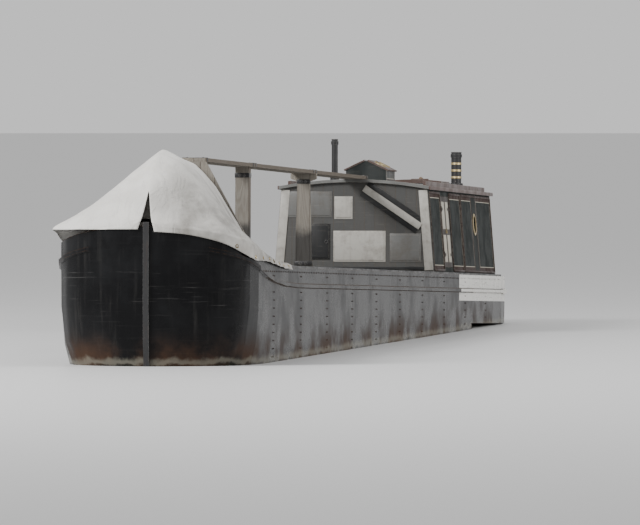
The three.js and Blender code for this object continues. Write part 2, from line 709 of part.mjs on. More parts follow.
// The crown of a bulkhead follows the roof's facets from a corner at the given half-breadth.
function crownFrom(half) {
  const crown = [];
  for (let k = ROOF_STEPS - 1; k >= 0; k--) {
    const y = ROOF_HALF * k / ROOF_STEPS;
    if (y < half) {
      crown.push([y, roofUnder(y) - GAP]);
    }
  }
  return crown;
}

const mirrored = (half) => [...half, ...half.filter(([y]) => y > 0).map(([y, z]) => [-y, z]).reverse()];

function innerHalf(z) {
  return skinFace(CABIN_FRONT, z)[1] - SIDE_THICK - 2 * GAP;
}

// The iron bulkhead that closes the hold, between the hull's sides.
const STRIP_INNER = HALF_BEAM - GUNWALE_WIDE - 4;

function holdBulkhead() {
  const half = [];
  for (let level = 0; level <= SKIN_LEVELS; level++) {
    const z = lerp(SEAT + GAP, LOW_SHEER - GAP, level / SKIN_LEVELS);
    half.push([innerHalf(z), z]);
  }
  half.push([STRIP_INNER, LOW_SHEER - GAP], [STRIP_INNER, DECK_TOP]);
  return frameSlab(mirrored(half), CABIN_FRONT + 2 * GAP, CABIN_FRONT + BULKHEAD);
}

// The cabin's timber front, over the iron bulkhead and as wide as the walls.
function cabinFront() {
  const foot = DECK_TOP + GAP;
  const half = [[wallHalf(foot), foot], [CABIN_TOP_HALF, CABIN_EDGE_Z - GAP], ...crownFrom(CABIN_TOP_HALF)];
  return frameSlab(mirrored(half), CABIN_FRONT, CABIN_FRONT + BULKHEAD);
}

// The bulkhead between engine room and cabin, on the swim's forward edge, with its doorway.
function middleBulkhead() {
  const foot = UXTER_TOP + GAP;
  const wallInner = (z) => wallHalf(z) - WALL / Math.cos(LEAN) - 3 * GAP;
  const half = [
    [innerHalf(foot), foot],
    [innerHalf(foot), LOW_SHEER - GAP],
    [STRIP_INNER, LOW_SHEER - GAP],
    [STRIP_INNER, WALL_FOOT_Z],
    [wallInner(WALL_FOOT_Z), WALL_FOOT_Z],
    [wallInner(CABIN_EDGE_Z), CABIN_EDGE_Z - 2],
    ...crownFrom(wallInner(CABIN_EDGE_Z) - 60),
  ];
  const doorway = mirrored([[240, foot + 60], [240, foot + 1300]]);
  return frameSlab(mirrored(half), SWIM_START + 2, SWIM_START + BULKHEAD, [doorway]);
}

// The rear bulkhead stands on the counter; its doorway runs up into the hatchway.
const DOOR_SILL = LOW_SHEER + 60;

function rearBulkhead() {
  const foot = LOW_SHEER + GAP;
  const half = [
    [CABIN_FOOT_HALF, foot],
    [CABIN_TOP_HALF, CABIN_EDGE_Z - GAP],
    ...crownFrom(CABIN_TOP_HALF).filter(([y]) => y > HATCHWAY.half),
    [HATCHWAY.half, roofFace(HATCHWAY.half) - ROOF_THICK - GAP],
    [HATCHWAY.half, DOOR_SILL],
  ];
  return frameSlab(mirrored(half), CABIN_REAR - BULKHEAD, CABIN_REAR);
}

// The rear doors: two leaves flush with the bulkhead's after face.
const REAR_DOOR = { clear: 5, thick: 30, top: 2360 };

function rearDoor(side) {
  const { clear, thick, top } = REAR_DOOR;
  const [y0, y1] = [clear / 2, HATCHWAY.half - clear].map((y) => side * y).sort((a, b) => a - b);
  const leaf = block(CABIN_REAR - thick, CABIN_REAR, y0, y1, DOOR_SILL + clear, top);
  const hinges = HINGE_LEVELS.flatMap((level) => {
    const z = lerp(DOOR_SILL, top, level);
    const line = side * (HATCHWAY.half - HINGE.edge);
    const strapEnd = side * (HATCHWAY.half - HINGE.edge - HINGE.strap);
    const [tall, wide] = [HINGE.tall / 2, HINGE.wide / 2];
    const barrel = upright(CABIN_REAR + HINGE.proud, line, z - tall, z + tall, HINGE.radius);
    const [s0, s1] = [line - side * 2, strapEnd].sort((a, b) => a - b);
    const strap = block(CABIN_REAR - HINGE.sunk, CABIN_REAR + HINGE.thick, s0, s1, z - wide, z + wide);
    return [barrel, strap];
  });
  return join(leaf, ...hinges);
}

// The slide: a cambered hatch lid that straddles its two runners.
const SLIDE = { fore: 19110, aft: 19850, half: 368, thick: 28, camber: 22, skirt: 26, clear: 0.6 };

function slideHatch() {
  const base = RAIL.top + SLIDE.clear;
  const lid = bent([SLIDE.fore, SLIDE.aft], 6, 1, (aft, across, up) => {
    const y = SLIDE.half * (2 * across - 1);
    const crown = up * SLIDE.camber * (1 - (2 * across - 1) ** 2);
    return [fromStem(aft), y, base + SLIDE.thick * up + crown];
  });
  const skirtLow = roofFace(SLIDE.half - SLIDE.skirt) + 9;
  const skirts = [1, -1].map((side) => {
    const [y0, y1] = [SLIDE.half - SLIDE.skirt, SLIDE.half].map((y) => side * y).sort((a, b) => a - b);
    return block(SLIDE.fore, SLIDE.aft, y0, y1, skirtLow, base + SLIDE.thick / 2);
  });
  return join(lid, ...skirts);
}

// The pigeon box: a small gabled skylight over the engine, with a lid on each slope.
const PIGEON = { fore: 15240, aft: 15960, half: 245, wall: 25, eaves: 2540, ridge: 2650, ridgeHalf: 14 };
const LID = { thick: 18, lap: 20, clear: 0.5 };

function pigeonBox() {
  const { fore, aft, half, wall, eaves, ridge, ridgeHalf } = PIGEON;
  const gable = mirrored([[half, 2260], [half, eaves], [ridgeHalf, ridge]]);
  const inside = mirrored([[half - wall, 2100], [half - wall, eaves + 200]]);
  const shell = cut(frameSlab(gable, fore, aft), frameSlab(inside, fore + wall, aft - wall));
  const ridgeBar = block(fore, aft, -ridgeHalf, ridgeHalf, ridge - 45, ridge);
  return cut(join(shell, ridgeBar), underRoofFace());
}

function pigeonLid(side) {
  const { fore, aft, half, eaves, ridge, ridgeHalf } = PIGEON;
  const run = half - ridgeHalf;
  const fall = ridge - eaves;
  const slope = Math.hypot(run, fall);
  const [sin, cos] = [fall / slope, run / slope];
  const at = (along, up) => [side * (ridgeHalf + along * cos + up * sin), ridge - along * sin + up * cos];
  const end = slope + LID.lap;
  const outline = [at(2, LID.clear), at(end, LID.clear), at(end, LID.thick), at(2, LID.thick)];
  return frameSlab(outline, fore - 15, aft + 15);
}

// The stove chimney on the port side of the roof, and the engine's exhaust stack
const CHIMNEY = { at: 18800, y: 600, radius: 64, top: 2820 };
const EXHAUST = { at: 14900, y: -330, radius: 38, top: 2900 };

function roofPipe({ at, y, radius, top }, collar) {
  const foot = upright(at, y, CABIN_EDGE_Z, roofFace(y) + 60, radius + collar, radius + collar * 0.8);
  const pipe = upright(at, y, CABIN_EDGE_Z, top, radius);
  const rim = upright(at, y, top - 60, top - 20, radius + 8);
  return cut(join(foot, pipe, rim), underRoofFace());
}

// Inside the cabin
const SOLE_TOP = 160;

function engineRoomFloor() {
  return block(CABIN_FRONT + BULKHEAD + GAP, SWIM_START - 2, -930, 930, SEAT, SOLE_TOP);
}

function engineBlock() {
  return block(14950, 16550, -320, 320, SOLE_TOP + GAP, 1280);
}

const LOCKER_TOP = 1090;

function cabinLocker(side, fore, aft) {
  const [y0, y1] = [WELL_HALF + 30, innerHalf(UXTER_Z) - 2].map((y) => side * y).sort((a, b) => a - b);
  return block(fore, aft, y0, y1, UXTER_TOP + GAP, LOCKER_TOP);
}

// The range stands on the swim under the chimney, its flue reaching the roof.
function range() {
  const { at, y, radius } = CHIMNEY;
  const body = block(at - 260, at + 260, y - 220, y + 240, UXTER_TOP + GAP, 1270);
  const flueTop = roofFace(y + radius) - ROOF_THICK - GAP;
  return join(body, upright(at, y, 1250, flueTop, radius - 8));
}

function cabinSteps() {
  return block(19150, CABIN_REAR - BULKHEAD - 10, -WELL_HALF, WELL_HALF, UXTER_TOP + GAP, 1000);
}

// Stern gear
// The rudder: a plate on a round stock that passes up through the counter.
const BLADE = { fore: 20895, aft: 21440, low: 85, high: 650, half: 10 };
const STOCK_TOP = 1400;

function rudder() {
  const blade = block(BLADE.fore, BLADE.aft, -BLADE.half, BLADE.half, BLADE.low, BLADE.high);
  const stock = upright(STOCK_AT, 0, BLADE.low, STOCK_TOP, STOCK_RADIUS);
  const pintle = upright(STOCK_AT, 0, CUP_FLOOR + 0.5, BLADE.low + 20, PINTLE_RADIUS);
  return join(blade, stock, pintle);
}

// The tiller: a swan neck clamped on the stock, bending forward into the steering bar.
const TILLER = { reach: 1130, tip: 2510, radius: 22 };

function tiller() {
  const seat = STOCK_TOP + GAP;
  const route = [[0, seat], [0, 1800], [-30, 2130], [120, 2330], [420, 2420], [TILLER.reach, TILLER.tip]];
  const points = route.map(([ahead, z]) => new THREE.Vector3(fromStem(STOCK_AT - ahead), 0, z));
  const path = new THREE.CatmullRomCurve3(points, false, "centripetal");
  const round = new THREE.Shape().absarc(0, 0, TILLER.radius, 0, 2 * Math.PI);
  const sweep = { steps: 18, curveSegments: 5, bevelEnabled: false, extrudePath: path };
  const clamp = upright(STOCK_AT, 0, seat, STOCK_TOP + 120, STOCK_RADIUS + 14);
  const below = block(STOCK_AT - 100, STOCK_AT + 100, -100, 100, STOCK_TOP - 60, seat);
  return cut(join(new THREE.ExtrudeGeometry(round, sweep), clamp), below);
}

// The propeller: three blades on a boss, on the tail of its shaft.
const BLADE_COUNT = 3;
const PROPELLER_RADIUS = 290;
const BLADE_PITCH = THREE.MathUtils.degToRad(32);

function propeller() {
  const boss = lengthwise(PROPELLER_AT - 62, PROPELLER_AT + 62, 0, SHAFT_Z, 52);
  const shaft = lengthwise(SWIM_END - STERN_TUBE_DEEP + 60, PROPELLER_AT, 0, SHAFT_Z, SHAFT_RADIUS);
  const outline = new THREE.Shape();
  outline.moveTo(-38, 30);
  outline.quadraticCurveTo(-150, 190, -60, PROPELLER_RADIUS - 10);
  outline.quadraticCurveTo(0, PROPELLER_RADIUS + 12, 60, PROPELLER_RADIUS - 10);
  outline.quadraticCurveTo(150, 190, 38, 30);
  const blades = [];
  for (let k = 0; k < BLADE_COUNT; k++) {
    const blade = new THREE.ExtrudeGeometry(outline, { depth: 14, bevelEnabled: false, curveSegments: 5 });
    blade.translate(0, 0, -7).rotateY(Math.PI / 2 - BLADE_PITCH);
    blade.rotateX(Math.PI / 2 + 2 * Math.PI * k / BLADE_COUNT);
    blades.push(blade.translate(fromStem(PROPELLER_AT), 0, SHAFT_Z));
  }
  return join(boss, shaft, ...blades);
}

// The stern fender: a plump rope roll hung across the counter's end.
const STERN_FENDER_MID = LOW_SHEER - GUARD_DROP;
const STERN_FENDER_HALF = 330;
const ROLL_RINGS = [[0, -1], [0.5, -0.98], [0.8, -0.82], [1, -0.4], [1, 0.4], [0.8, 0.82], [0.5, 0.98], [0, 1]];

function sternFender() {
  const seat = HULL_LENGTH + GUARD_PROUD + GAP;
  const radius = (HULL_LENGTH + STERN_FENDER_REACH - seat) / 2;
  const profile = ROLL_RINGS.map(([out, along]) => new THREE.Vector2(out * radius, along * STERN_FENDER_HALF));
  const roll = new THREE.LatheGeometry(profile, 16);
  return roll.translate(fromStem(seat + radius), 0, STERN_FENDER_MID);
}

// The stern studs: one each side of the counter.
const STERN_STUD = { at: 20260, y: 700, tall: 150 };

function sternStud(side) {
  const deck = LOW_SHEER + GAP;
  const { at, tall } = STERN_STUD;
  const y = side * STERN_STUD.y;
  const foot = block(at - 75, at + 75, y - 60, y + 60, deck, deck + 16);
  const post = upright(at, y, deck, deck + tall, 34);
  const cap = upright(at, y, deck + tall - 26, deck + tall, 46);
  return join(foot, post, cap);
}

// Finishes: name, colour, roughness and metalness
const finish = (color, roughness, metalness) => new THREE.MeshStandardMaterial({ color, roughness, metalness });
const blackedIron = finish(0x17181a, 0.55, 0.2);
const weatheredIron = finish(0x5d5f61, 0.7, 0.3);
const canvas = finish(0xd9d7cf, 0.9, 0);
const oak = finish(0x8a8378, 0.85, 0);
const paintedWood = finish(0x3c3f42, 0.5, 0);
const rope = finish(0x8d8169, 0.95, 0);
const bronze = finish(0x9a7b45, 0.4, 0.8);
const engineIron = finish(0x474b4a, 0.6, 0.4);

// Every sub-part by name
const SIDES = [["port", 1], ["starboard", -1]];

const narrowboat = new THREE.Group();

function add(name, geometry, material) {
  const mesh = new THREE.Mesh(geometry, material);
  mesh.name = name;
  narrowboat.add(mesh);
}

add("bottom_plate", bottomPlate(), blackedIron);
add("fore_end", foreEnd(), blackedIron);
add("stern_swim", sternSwim(), blackedIron);
add("uxter_plate", uxterPlate(), blackedIron);
add("counter", counter(), blackedIron);
add("stem_bar", stemBar(), blackedIron);
add("skeg", skeg(), blackedIron);
for (const [name, side] of SIDES) {
  add(`hold_side_${name}`, holdSide(side), weatheredIron);
  add(`cabin_hull_${name}`, cabinHull(side), weatheredIron);
  add(`gunwale_${name}`, gunwale(side), blackedIron);
}
add("bow_stud", bowStud(), blackedIron);
add("canvas_cover", canvasCover(), canvas);
add("fore_frame", foreFrame(), oak);
add("cratch_board", cratchBoard(), oak);
add("hold_floor", holdFloor(), oak);
add("mast", mast(), oak);
add("mast_beam", holdBeam(MAST_AT, BEAM_WIDE, 150), oak);
add("plank_stand", plankStand(), oak);
add("stand_beam", holdBeam(STAND_AT, BEAM_WIDE, 150), oak);
add("top_plank_fore", topPlank(CRATCH_AT + 2, MAST_AT - BEAM_WIDE / 2 - 80), oak);
add("top_plank_middle", topPlank(MAST_AT - BEAM_WIDE / 2 - 74, STAND_AT + BEAM_WIDE / 2 + 28), oak);
add("top_plank_aft", topPlank(STAND_AT + BEAM_WIDE / 2 + 34, CABIN_FRONT + 220), oak);
add("hold_bulkhead", holdBulkhead(), weatheredIron);
add("cabin_front", cabinFront(), paintedWood);
add("middle_bulkhead", middleBulkhead(), paintedWood);
add("rear_bulkhead", rearBulkhead(), paintedWood);
for (const [name, side] of SIDES) {
  add(`cabin_wall_${name}`, cabinWall(side), paintedWood);
  add(`side_door_${name}_fore`, sideDoorLeaf(side, true), paintedWood);
  add(`side_door_${name}_aft`, sideDoorLeaf(side, false), paintedWood);
  add(`rear_door_${name}`, rearDoor(side), paintedWood);
  add(`handrail_${name}`, handrail(side), oak);
  add(`pigeon_lid_${name}`, pigeonLid(side), paintedWood);
  add(`stern_stud_${name}`, sternStud(side), blackedIron);
}
add("cabin_roof", cabinRoof(), paintedWood);
add("slide_hatch", slideHatch(), paintedWood);
add("pigeon_box", pigeonBox(), paintedWood);
add("chimney", roofPipe(CHIMNEY, 26), blackedIron);
add("exhaust_stack", roofPipe(EXHAUST, 20), blackedIron);
add("engine_room_floor", engineRoomFloor(), oak);
add("engine_block", engineBlock(), engineIron);
add("cabin_locker_port", cabinLocker(1, SWIM_START + 60, CHIMNEY.at - 300), oak);
add("cabin_locker_starboard", cabinLocker(-1, SWIM_START + 60, CABIN_REAR - 420), oak);
add("range", range(), blackedIron);
add("cabin_steps", cabinSteps(), oak);
add("rudder", rudder(), blackedIron);
add("tiller", tiller(), blackedIron);
add("propeller", propeller(), bronze);
add("stern_fender", sternFender(), rope);

export default narrowboat;
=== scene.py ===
import math

import bmesh
import bpy
from mathutils import Matrix, Vector, noise
from mathutils.bvhtree import BVHTree


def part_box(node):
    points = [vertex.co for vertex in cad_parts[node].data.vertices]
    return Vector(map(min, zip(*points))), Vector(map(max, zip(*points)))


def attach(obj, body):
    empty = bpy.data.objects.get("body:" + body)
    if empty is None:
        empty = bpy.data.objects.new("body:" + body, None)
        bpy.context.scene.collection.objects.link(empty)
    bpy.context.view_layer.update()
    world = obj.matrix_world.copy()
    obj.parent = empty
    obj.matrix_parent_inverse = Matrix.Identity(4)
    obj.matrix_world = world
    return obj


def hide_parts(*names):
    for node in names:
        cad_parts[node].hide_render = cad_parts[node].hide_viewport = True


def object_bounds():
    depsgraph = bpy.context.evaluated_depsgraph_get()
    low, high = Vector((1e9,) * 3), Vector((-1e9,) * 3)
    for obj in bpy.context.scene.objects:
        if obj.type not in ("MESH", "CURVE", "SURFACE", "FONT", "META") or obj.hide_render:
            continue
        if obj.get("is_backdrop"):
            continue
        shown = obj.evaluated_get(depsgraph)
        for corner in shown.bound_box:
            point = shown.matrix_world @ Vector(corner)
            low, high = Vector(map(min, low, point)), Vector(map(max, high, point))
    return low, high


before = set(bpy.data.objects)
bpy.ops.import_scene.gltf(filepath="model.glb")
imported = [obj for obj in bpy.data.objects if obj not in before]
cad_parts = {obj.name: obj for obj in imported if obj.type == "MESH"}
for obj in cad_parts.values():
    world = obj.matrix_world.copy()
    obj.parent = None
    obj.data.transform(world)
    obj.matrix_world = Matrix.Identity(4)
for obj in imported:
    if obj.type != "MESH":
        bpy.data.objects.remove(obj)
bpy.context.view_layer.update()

scene = bpy.context.scene

# The camera stands about 89 m off, a little off the port bow and 2.4 m above the water, as in
# the photo. The empty boat trims by the stern, so the water's plane is tilted in the boat's frame.
STEM_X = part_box("fore_end")[1].x
HULL_LENGTH = 21.34
BOW_DRAUGHT = 0.25
STERN_DRAUGHT = 0.72
TRIM = math.atan((STERN_DRAUGHT - BOW_DRAUGHT) / HULL_LENGTH)
EYE_DISTANCE = 89.0
EYE_HEIGHT = 2.44
OFF_BOW = math.radians(10)
AIM_RIGHT = math.radians(1.156)
AIM_DOWN = math.radians(0.88)
LENS = 486

water_up = Vector((math.sin(TRIM), 0, math.cos(TRIM)))
ahead = Vector((math.cos(TRIM), 0, -math.sin(TRIM)))
to_port = Vector((0, 1, 0))
stem_on_water = Vector((STEM_X, 0, BOW_DRAUGHT))
off_bow = math.cos(OFF_BOW) * ahead + math.sin(OFF_BOW) * to_port
look = -off_bow
sideways = look.cross(water_up)
look = (math.cos(AIM_RIGHT) * look + math.sin(AIM_RIGHT) * sideways).normalized()
look = (math.cos(AIM_DOWN) * look - math.sin(AIM_DOWN) * water_up).normalized()
right = look.cross(water_up).normalized()
up = right.cross(look)

camera = bpy.data.objects.new("Camera", bpy.data.cameras.new("Camera"))
scene.collection.objects.link(camera)
camera.data.lens = LENS
camera.data.clip_end = 9000
place = Matrix((right, up, -look)).transposed().to_4x4()
place.translation = stem_on_water + EYE_DISTANCE * off_bow + EYE_HEIGHT * water_up
camera.matrix_world = place
scene.camera = camera

# The floor is a wide pale sheet lying in the water's plane, and the hull floats through an opening
# cut to its own outline, so the hold and the cabin stay clear of it.
FLOOR_HALF = 6000
FLOOR_NEAR = (16, 5)
FLOOR_GREY = 0.62
FLOOR_ROUGH = 0.45
OPENING_STEPS = 96
OPENING_ENDS = (0.05, 20.50)
OPENING_BUNCHED = 1.5
OPENING_INSET = 0.012
NARROWEST = 0.02
HULL_SIDES = ("hold_side_port", "hold_side_starboard", "cabin_hull_port", "cabin_hull_starboard")


def linked(name, mesh):
    """A new object of the scene with its origin at the frame's origin."""
    made = bpy.data.objects.new(name, mesh)
    scene.collection.objects.link(made)
    return made


def plain_material(name, colour, roughness):
    material = bpy.data.materials.new(name)
    material.use_nodes = True
    shader = material.node_tree.nodes["Principled BSDF"]
    shader.inputs["Base Color"].default_value = (*colour, 1)
    shader.inputs["Roughness"].default_value = roughness
    return material


def skin_of(*nodes, slopes=(-2, 2)):
    """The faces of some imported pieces, for laying things on; a slope of 0 is a side, 1 a top."""
    gathered = bmesh.new()
    for name in nodes:
        gathered.from_mesh(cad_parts[name].data)
    others = [face for face in gathered.faces if not slopes[0] <= face.normal.z <= slopes[1]]
    bmesh.ops.delete(gathered, geom=others, context="FACES")
    tree = BVHTree.FromBMesh(gathered)
    gathered.free()
    return tree


def spot_beside(tree, x, z, side, reach=2.0):
    """Where a level line from outside meets the skin, and the skin's direction there."""
    where, normal, _, _ = tree.ray_cast(Vector((x, side * reach, z)), Vector((0, -side, 0)))
    return (where, normal) if where else None


def on_water(x, y):
    return Vector((x, y, BOW_DRAUGHT + (STEM_X - x) * math.tan(TRIM)))


def opening_side(tree, side):
    """The hull's outline at the water on one side, just inside its plating, from stem to stern."""
    outline = []
    for step in range(OPENING_STEPS + 1):
        along = step / OPENING_STEPS
        share = along ** OPENING_BUNCHED if along < 0.5 else along
        behind = OPENING_ENDS[0] + (OPENING_ENDS[1] - OPENING_ENDS[0]) * share
        x = STEM_X - behind
        found = spot_beside(tree, x, on_water(x, 0).z, side)
        half = abs(found[0].y) - OPENING_INSET if found else NARROWEST
        outline.append(on_water(x, side * max(NARROWEST, half)))
    return outline


def closed_loop(shape, points):
    verts = [shape.verts.new(point) for point in points]
    return [shape.edges.new(pair) for pair in zip(verts, verts[1:] + verts[:1])]


def rectangle(half_x, half_y):
    return [on_water(x, y) for x, y in
            ((-half_x, -half_y), (half_x, -half_y), (half_x, half_y), (-half_x, half_y))]


outer_plating = skin_of("fore_end", *HULL_SIDES, "stern_swim")
shape = bmesh.new()
opening = closed_loop(shape, opening_side(outer_plating, 1) + opening_side(outer_plating, -1)[::-1])
near = closed_loop(shape, rectangle(*FLOOR_NEAR))
bmesh.ops.triangle_fill(shape, use_beauty=True, use_dissolve=False, edges=opening + near)
far = closed_loop(shape, rectangle(FLOOR_HALF, FLOOR_HALF))
bmesh.ops.triangle_fill(shape, use_beauty=True, use_dissolve=False, edges=near + far)
bmesh.ops.recalc_face_normals(shape, faces=shape.faces)
if shape.faces[0].normal.z < 0:
    bmesh.ops.reverse_faces(shape, faces=shape.faces)
floor_mesh = bpy.data.meshes.new("floor")
shape.to_mesh(floor_mesh)
shape.free()
floor = linked("floor", floor_mesh)
floor_mesh.materials.append(plain_material("pale_floor", (FLOOR_GREY,) * 3, FLOOR_ROUGH))
floor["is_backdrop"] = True

# A pale sky lights the boat softly, with one large soft lamp high on the starboard bow and a
# fainter one on the port side.
SKY_GREY = 0.9
SKY_STRENGTH = 0.85
KEY_LAMP = {"spot": (26, -20, 22), "target": (4, 0, 1), "size": 12, "watts": 16000}
FILL_LAMP = {"spot": (6, 30, 14), "target": (0, 0, 1), "size": 16, "watts": 5000}

world = bpy.data.worlds.new("soft_sky")
world.use_nodes = True
scene.world = world
sky = world.node_tree.nodes["Background"]
sky.inputs["Color"].default_value = (SKY_GREY, SKY_GREY, SKY_GREY, 1)
sky.inputs["Strength"].default_value = SKY_STRENGTH


def soft_lamp(name, spot, target, size, watts):
    lamp = linked(name, bpy.data.lights.new(name, "AREA"))
    lamp.data.size = size
    lamp.data.energy = watts
    lamp.location = spot
    lamp.rotation_euler = (Vector(target) - Vector(spot)).to_track_quat("-Z", "Y").to_euler()


soft_lamp("key_lamp", **KEY_LAMP)
soft_lamp("fill_lamp", **FILL_LAMP)

# The hull is riveted iron plate under thick black bitumen paint, brushed on and gone grey with
# dust, scraped along the rubbing guards and rusty and weedy at the waterline. Inside it is bare
# and dusty. The counter's edge is painted white, as a mark for boats that follow.
BITUMEN = (0.0045, 0.0045, 0.0050)
BITUMEN_GREY = (0.0090, 0.0092, 0.0100)
BITUMEN_IOR = 1.2
DUST = (0.20, 0.19, 0.175)
RUST = (0.095, 0.045, 0.022)
WEED = (0.030, 0.034, 0.020)
SCUM = (0.22, 0.21, 0.17)
BARE_IRON = (0.16, 0.155, 0.15)
HOLD_IRON = (0.075, 0.062, 0.052)
HOLD_DUSTY = (0.13, 0.12, 0.11)
COUNTER_WHITE = (0.74, 0.73, 0.69)
WHITE_FROM_Z = 0.975
WHITE_FROM_AFT = 15.95
WHITE_EDGE = 0.004
RUBBED_Z = 1.05
HOLD_FROM = 1.30
HOLD_TO = 17.15
PLATE_LENGTH = 1.83


def aft(distance):
    """The x of a place given as its distance aft of the stem head."""
    return STEM_X - distance


class Web:
    """A tree of shader nodes. A value given to it is a socket or a plain number."""

    def __init__(self, tree, place=None):
        self.tree = tree
        self.place = place

    def feed(self, node, values):
        for key, value in values.items():
            if isinstance(value, bpy.types.NodeSocket):
                self.tree.links.new(value, node.inputs[key])
            else:
                node.inputs[key].default_value = value

    def add(self, kind, values=None, **settings):
        made = self.tree.nodes.new("ShaderNode" + kind)
        for name, value in settings.items():
            setattr(made, name, value)
        self.feed(made, values or {})
        return made

    def group(self, tree, place=None, **values):
        return self.add("Group", {"Vector": place or self.place, **values}, node_tree=tree).outputs

    def math(self, operation, *values, clamp=False):
        values = dict(enumerate(values))
        return self.add("Math", values, operation=operation, use_clamp=clamp).outputs[0]

    def times(self, first, *others, clamp=False):
        for other in others:
            first = self.math("MULTIPLY", first, other, clamp=clamp)
        return first

    def summed(self, start, *parts, clamp=False):
        """A start with other values added to it, each times its share."""
        for value, share in parts:
            start = self.math("MULTIPLY_ADD", value, share, start, clamp=clamp)
        return start

    def off(self, value, middle):
        """How far a value lies from a middle."""
        return self.math("ABSOLUTE", self.math("SUBTRACT", value, middle))

    def step(self, value, low, high):
        """A smooth step from 0 at low to 1 at high."""
        values = {"Value": value, "From Min": low, "From Max": high, "To Min": 0.0, "To Max": 1.0}
        return self.add("MapRange", values, interpolation_type="SMOOTHSTEP").outputs[0]

    def stretched(self, scale, turn=(0, 0, 0), shift=(0, 0, 0)):
        values = {"Vector": self.place, "Location": shift, "Rotation": turn, "Scale": scale}
        return self.add("Mapping", values).outputs[0]

    def noise(self, scale, detail=4.0, roughness=0.55, distortion=0.0, stretch=None):
        values = {"Vector": self.stretched(stretch) if stretch else self.place, "Scale": scale,
                  "Detail": detail, "Roughness": roughness, "Distortion": distortion}
        return self.add("TexNoise", values).outputs["Fac"]

    def blotches(self, scale, detail, roughness, low, high, stretch=None):
        return self.step(self.noise(scale, detail, roughness, stretch=stretch), low, high)

    def axes(self, vector=None):
        return self.add("SeparateXYZ", {0: vector or self.place}).outputs

    def facing(self):
        return self.add("NewGeometry").outputs["Normal"]

    def mix(self, factor, *tones):
        """Two colours mixed by a mask; a plain colour is a triple."""
        first, second = (tone if isinstance(tone, bpy.types.NodeSocket) else (*tone, 1) for tone in tones)
        return self.add("Mix", {0: factor, 6: first, 7: second}, data_type="RGBA").outputs[2]

    def layered(self, tone, *layers):
        """Colours laid over a tone one by one, each through a mask and to some amount."""
        for mask, amount, colour in layers:
            tone = self.mix(self.times(mask, amount), tone, colour)
        return tone


class Group(Web):
    """A node group that finishes share, with a Vector and numbers going in and numbers out."""

    def __init__(self, name, outputs, **inputs):
        tree = bpy.data.node_groups.new(name, "ShaderNodeTree")
        face = tree.interface
        face.new_socket(name="Vector", in_out="INPUT", socket_type="NodeSocketVector")
        for label, default in inputs.items():
            socket = face.new_socket(name=label, in_out="INPUT", socket_type="NodeSocketFloat")
            socket.default_value = default
        for label in outputs.split():
            face.new_socket(name=label, in_out="OUTPUT", socket_type="NodeSocketFloat")
        self.given = tree.nodes.new("NodeGroupInput").outputs
        self.end = tree.nodes.new("NodeGroupOutput")
        super().__init__(tree, self.given["Vector"])

    def giving(self, **results):
        self.feed(self.end, results)
        return self.tree


def weather_group():
    """Patches, drips running down, scrapes running along and fine specks, for any old paint."""
    web = Group("weathering", "Patches Drips Scrapes Specks Height", Size=1.0, Drips=0.5)
    sized = web.add("VectorMath", {0: web.place, "Scale": web.given["Size"]}, operation="SCALE")
    web.place = sized.outputs[0]
    drips = web.times(web.blotches(1.4, 4, 0.6, 0.5, 0.72, (11, 11, 0.7)),
                      web.blotches(2.3, 3, 0.55, 0.35, 0.6))
    specks = web.blotches(46, 3, 0.7, 0.6, 0.72)
    return web.giving(
        Patches=web.blotches(1.6, 5, 0.6, 0.38, 0.66),
        Drips=web.times(drips, web.given["Drips"], clamp=True),
        Scrapes=web.blotches(1.7, 5, 0.62, 0.6, 0.7, (0.9, 0.9, 34)),
        Specks=specks,
        Height=web.summed(web.noise(7, 4, 0.7, stretch=(3, 3, 24)), (specks, 0.4)))


def edge_group():
    """Where a hard edge is near: the rounded normal turns away from the true one there."""
    web = Group("edge_wear", "Edge", Radius=0.012)
    rounded = web.add("Bevel", {"Radius": web.given["Radius"]}, samples=4).outputs[0]
    alike = web.add("VectorMath", {0: rounded, 1: web.facing()}, operation="DOT_PRODUCT")
    edge = web.step(alike.outputs["Value"], 0.995, 0.80)
    return web.giving(Edge=web.times(edge, web.blotches(23, 5, 0.75, 0.36, 0.58)))


def dust_group():
    """Dust that has settled where a face looks up, thicker in patches."""
    web = Group("settled_dust", "Dust", Amount=0.5)
    upward = web.step(web.axes(web.facing())["Z"], 0.35, 0.95)
    dust = web.times(upward, web.blotches(3.5, 6, 0.65, 0.25, 0.75))
    return web.giving(Dust=web.times(dust, web.given["Amount"], clamp=True))


weathering = weather_group()
edge_wear = edge_group()
settled_dust = dust_group()


class Finish(Web):
    """A material in the making, with the wear that everything on an old boat shares."""

    def __init__(self, name, size=None, drips=0.5, edge=None, dusty=None):
        self.material = bpy.data.materials.new(name)
        self.material.use_nodes = True
        super().__init__(self.material.node_tree)
        self.place = self.add("TexCoord").outputs["Object"]
        if size:
            worn = self.group(weathering, Size=size, Drips=drips)
            self.patches, self.drips, self.scrapes, self.specks, self.brushed = worn
        if edge:
            self.edge = self.group(edge_wear, Radius=edge)["Edge"]
        if dusty:
            self.dust = self.group(settled_dust, Amount=dusty)["Dust"]

    def done(self, tone, rough, height, depth, strength=1.0, **others):
        """Colour, roughness, bump and single values go to the shader's own sockets."""
        bump = self.add("Bump", {"Height": height, "Strength": strength, "Distance": depth})
        values = {"Base Color": tone, "Roughness": rough, "Normal": bump.outputs[0], **others}
        self.feed(self.tree.nodes["Principled BSDF"], values)
        return self.material


def dress(material, *nodes):
    """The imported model's own pieces get a finish in their material slot."""
    for name in nodes:
        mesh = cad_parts[name].data
        mesh.materials.clear()
        mesh.materials.append(material)


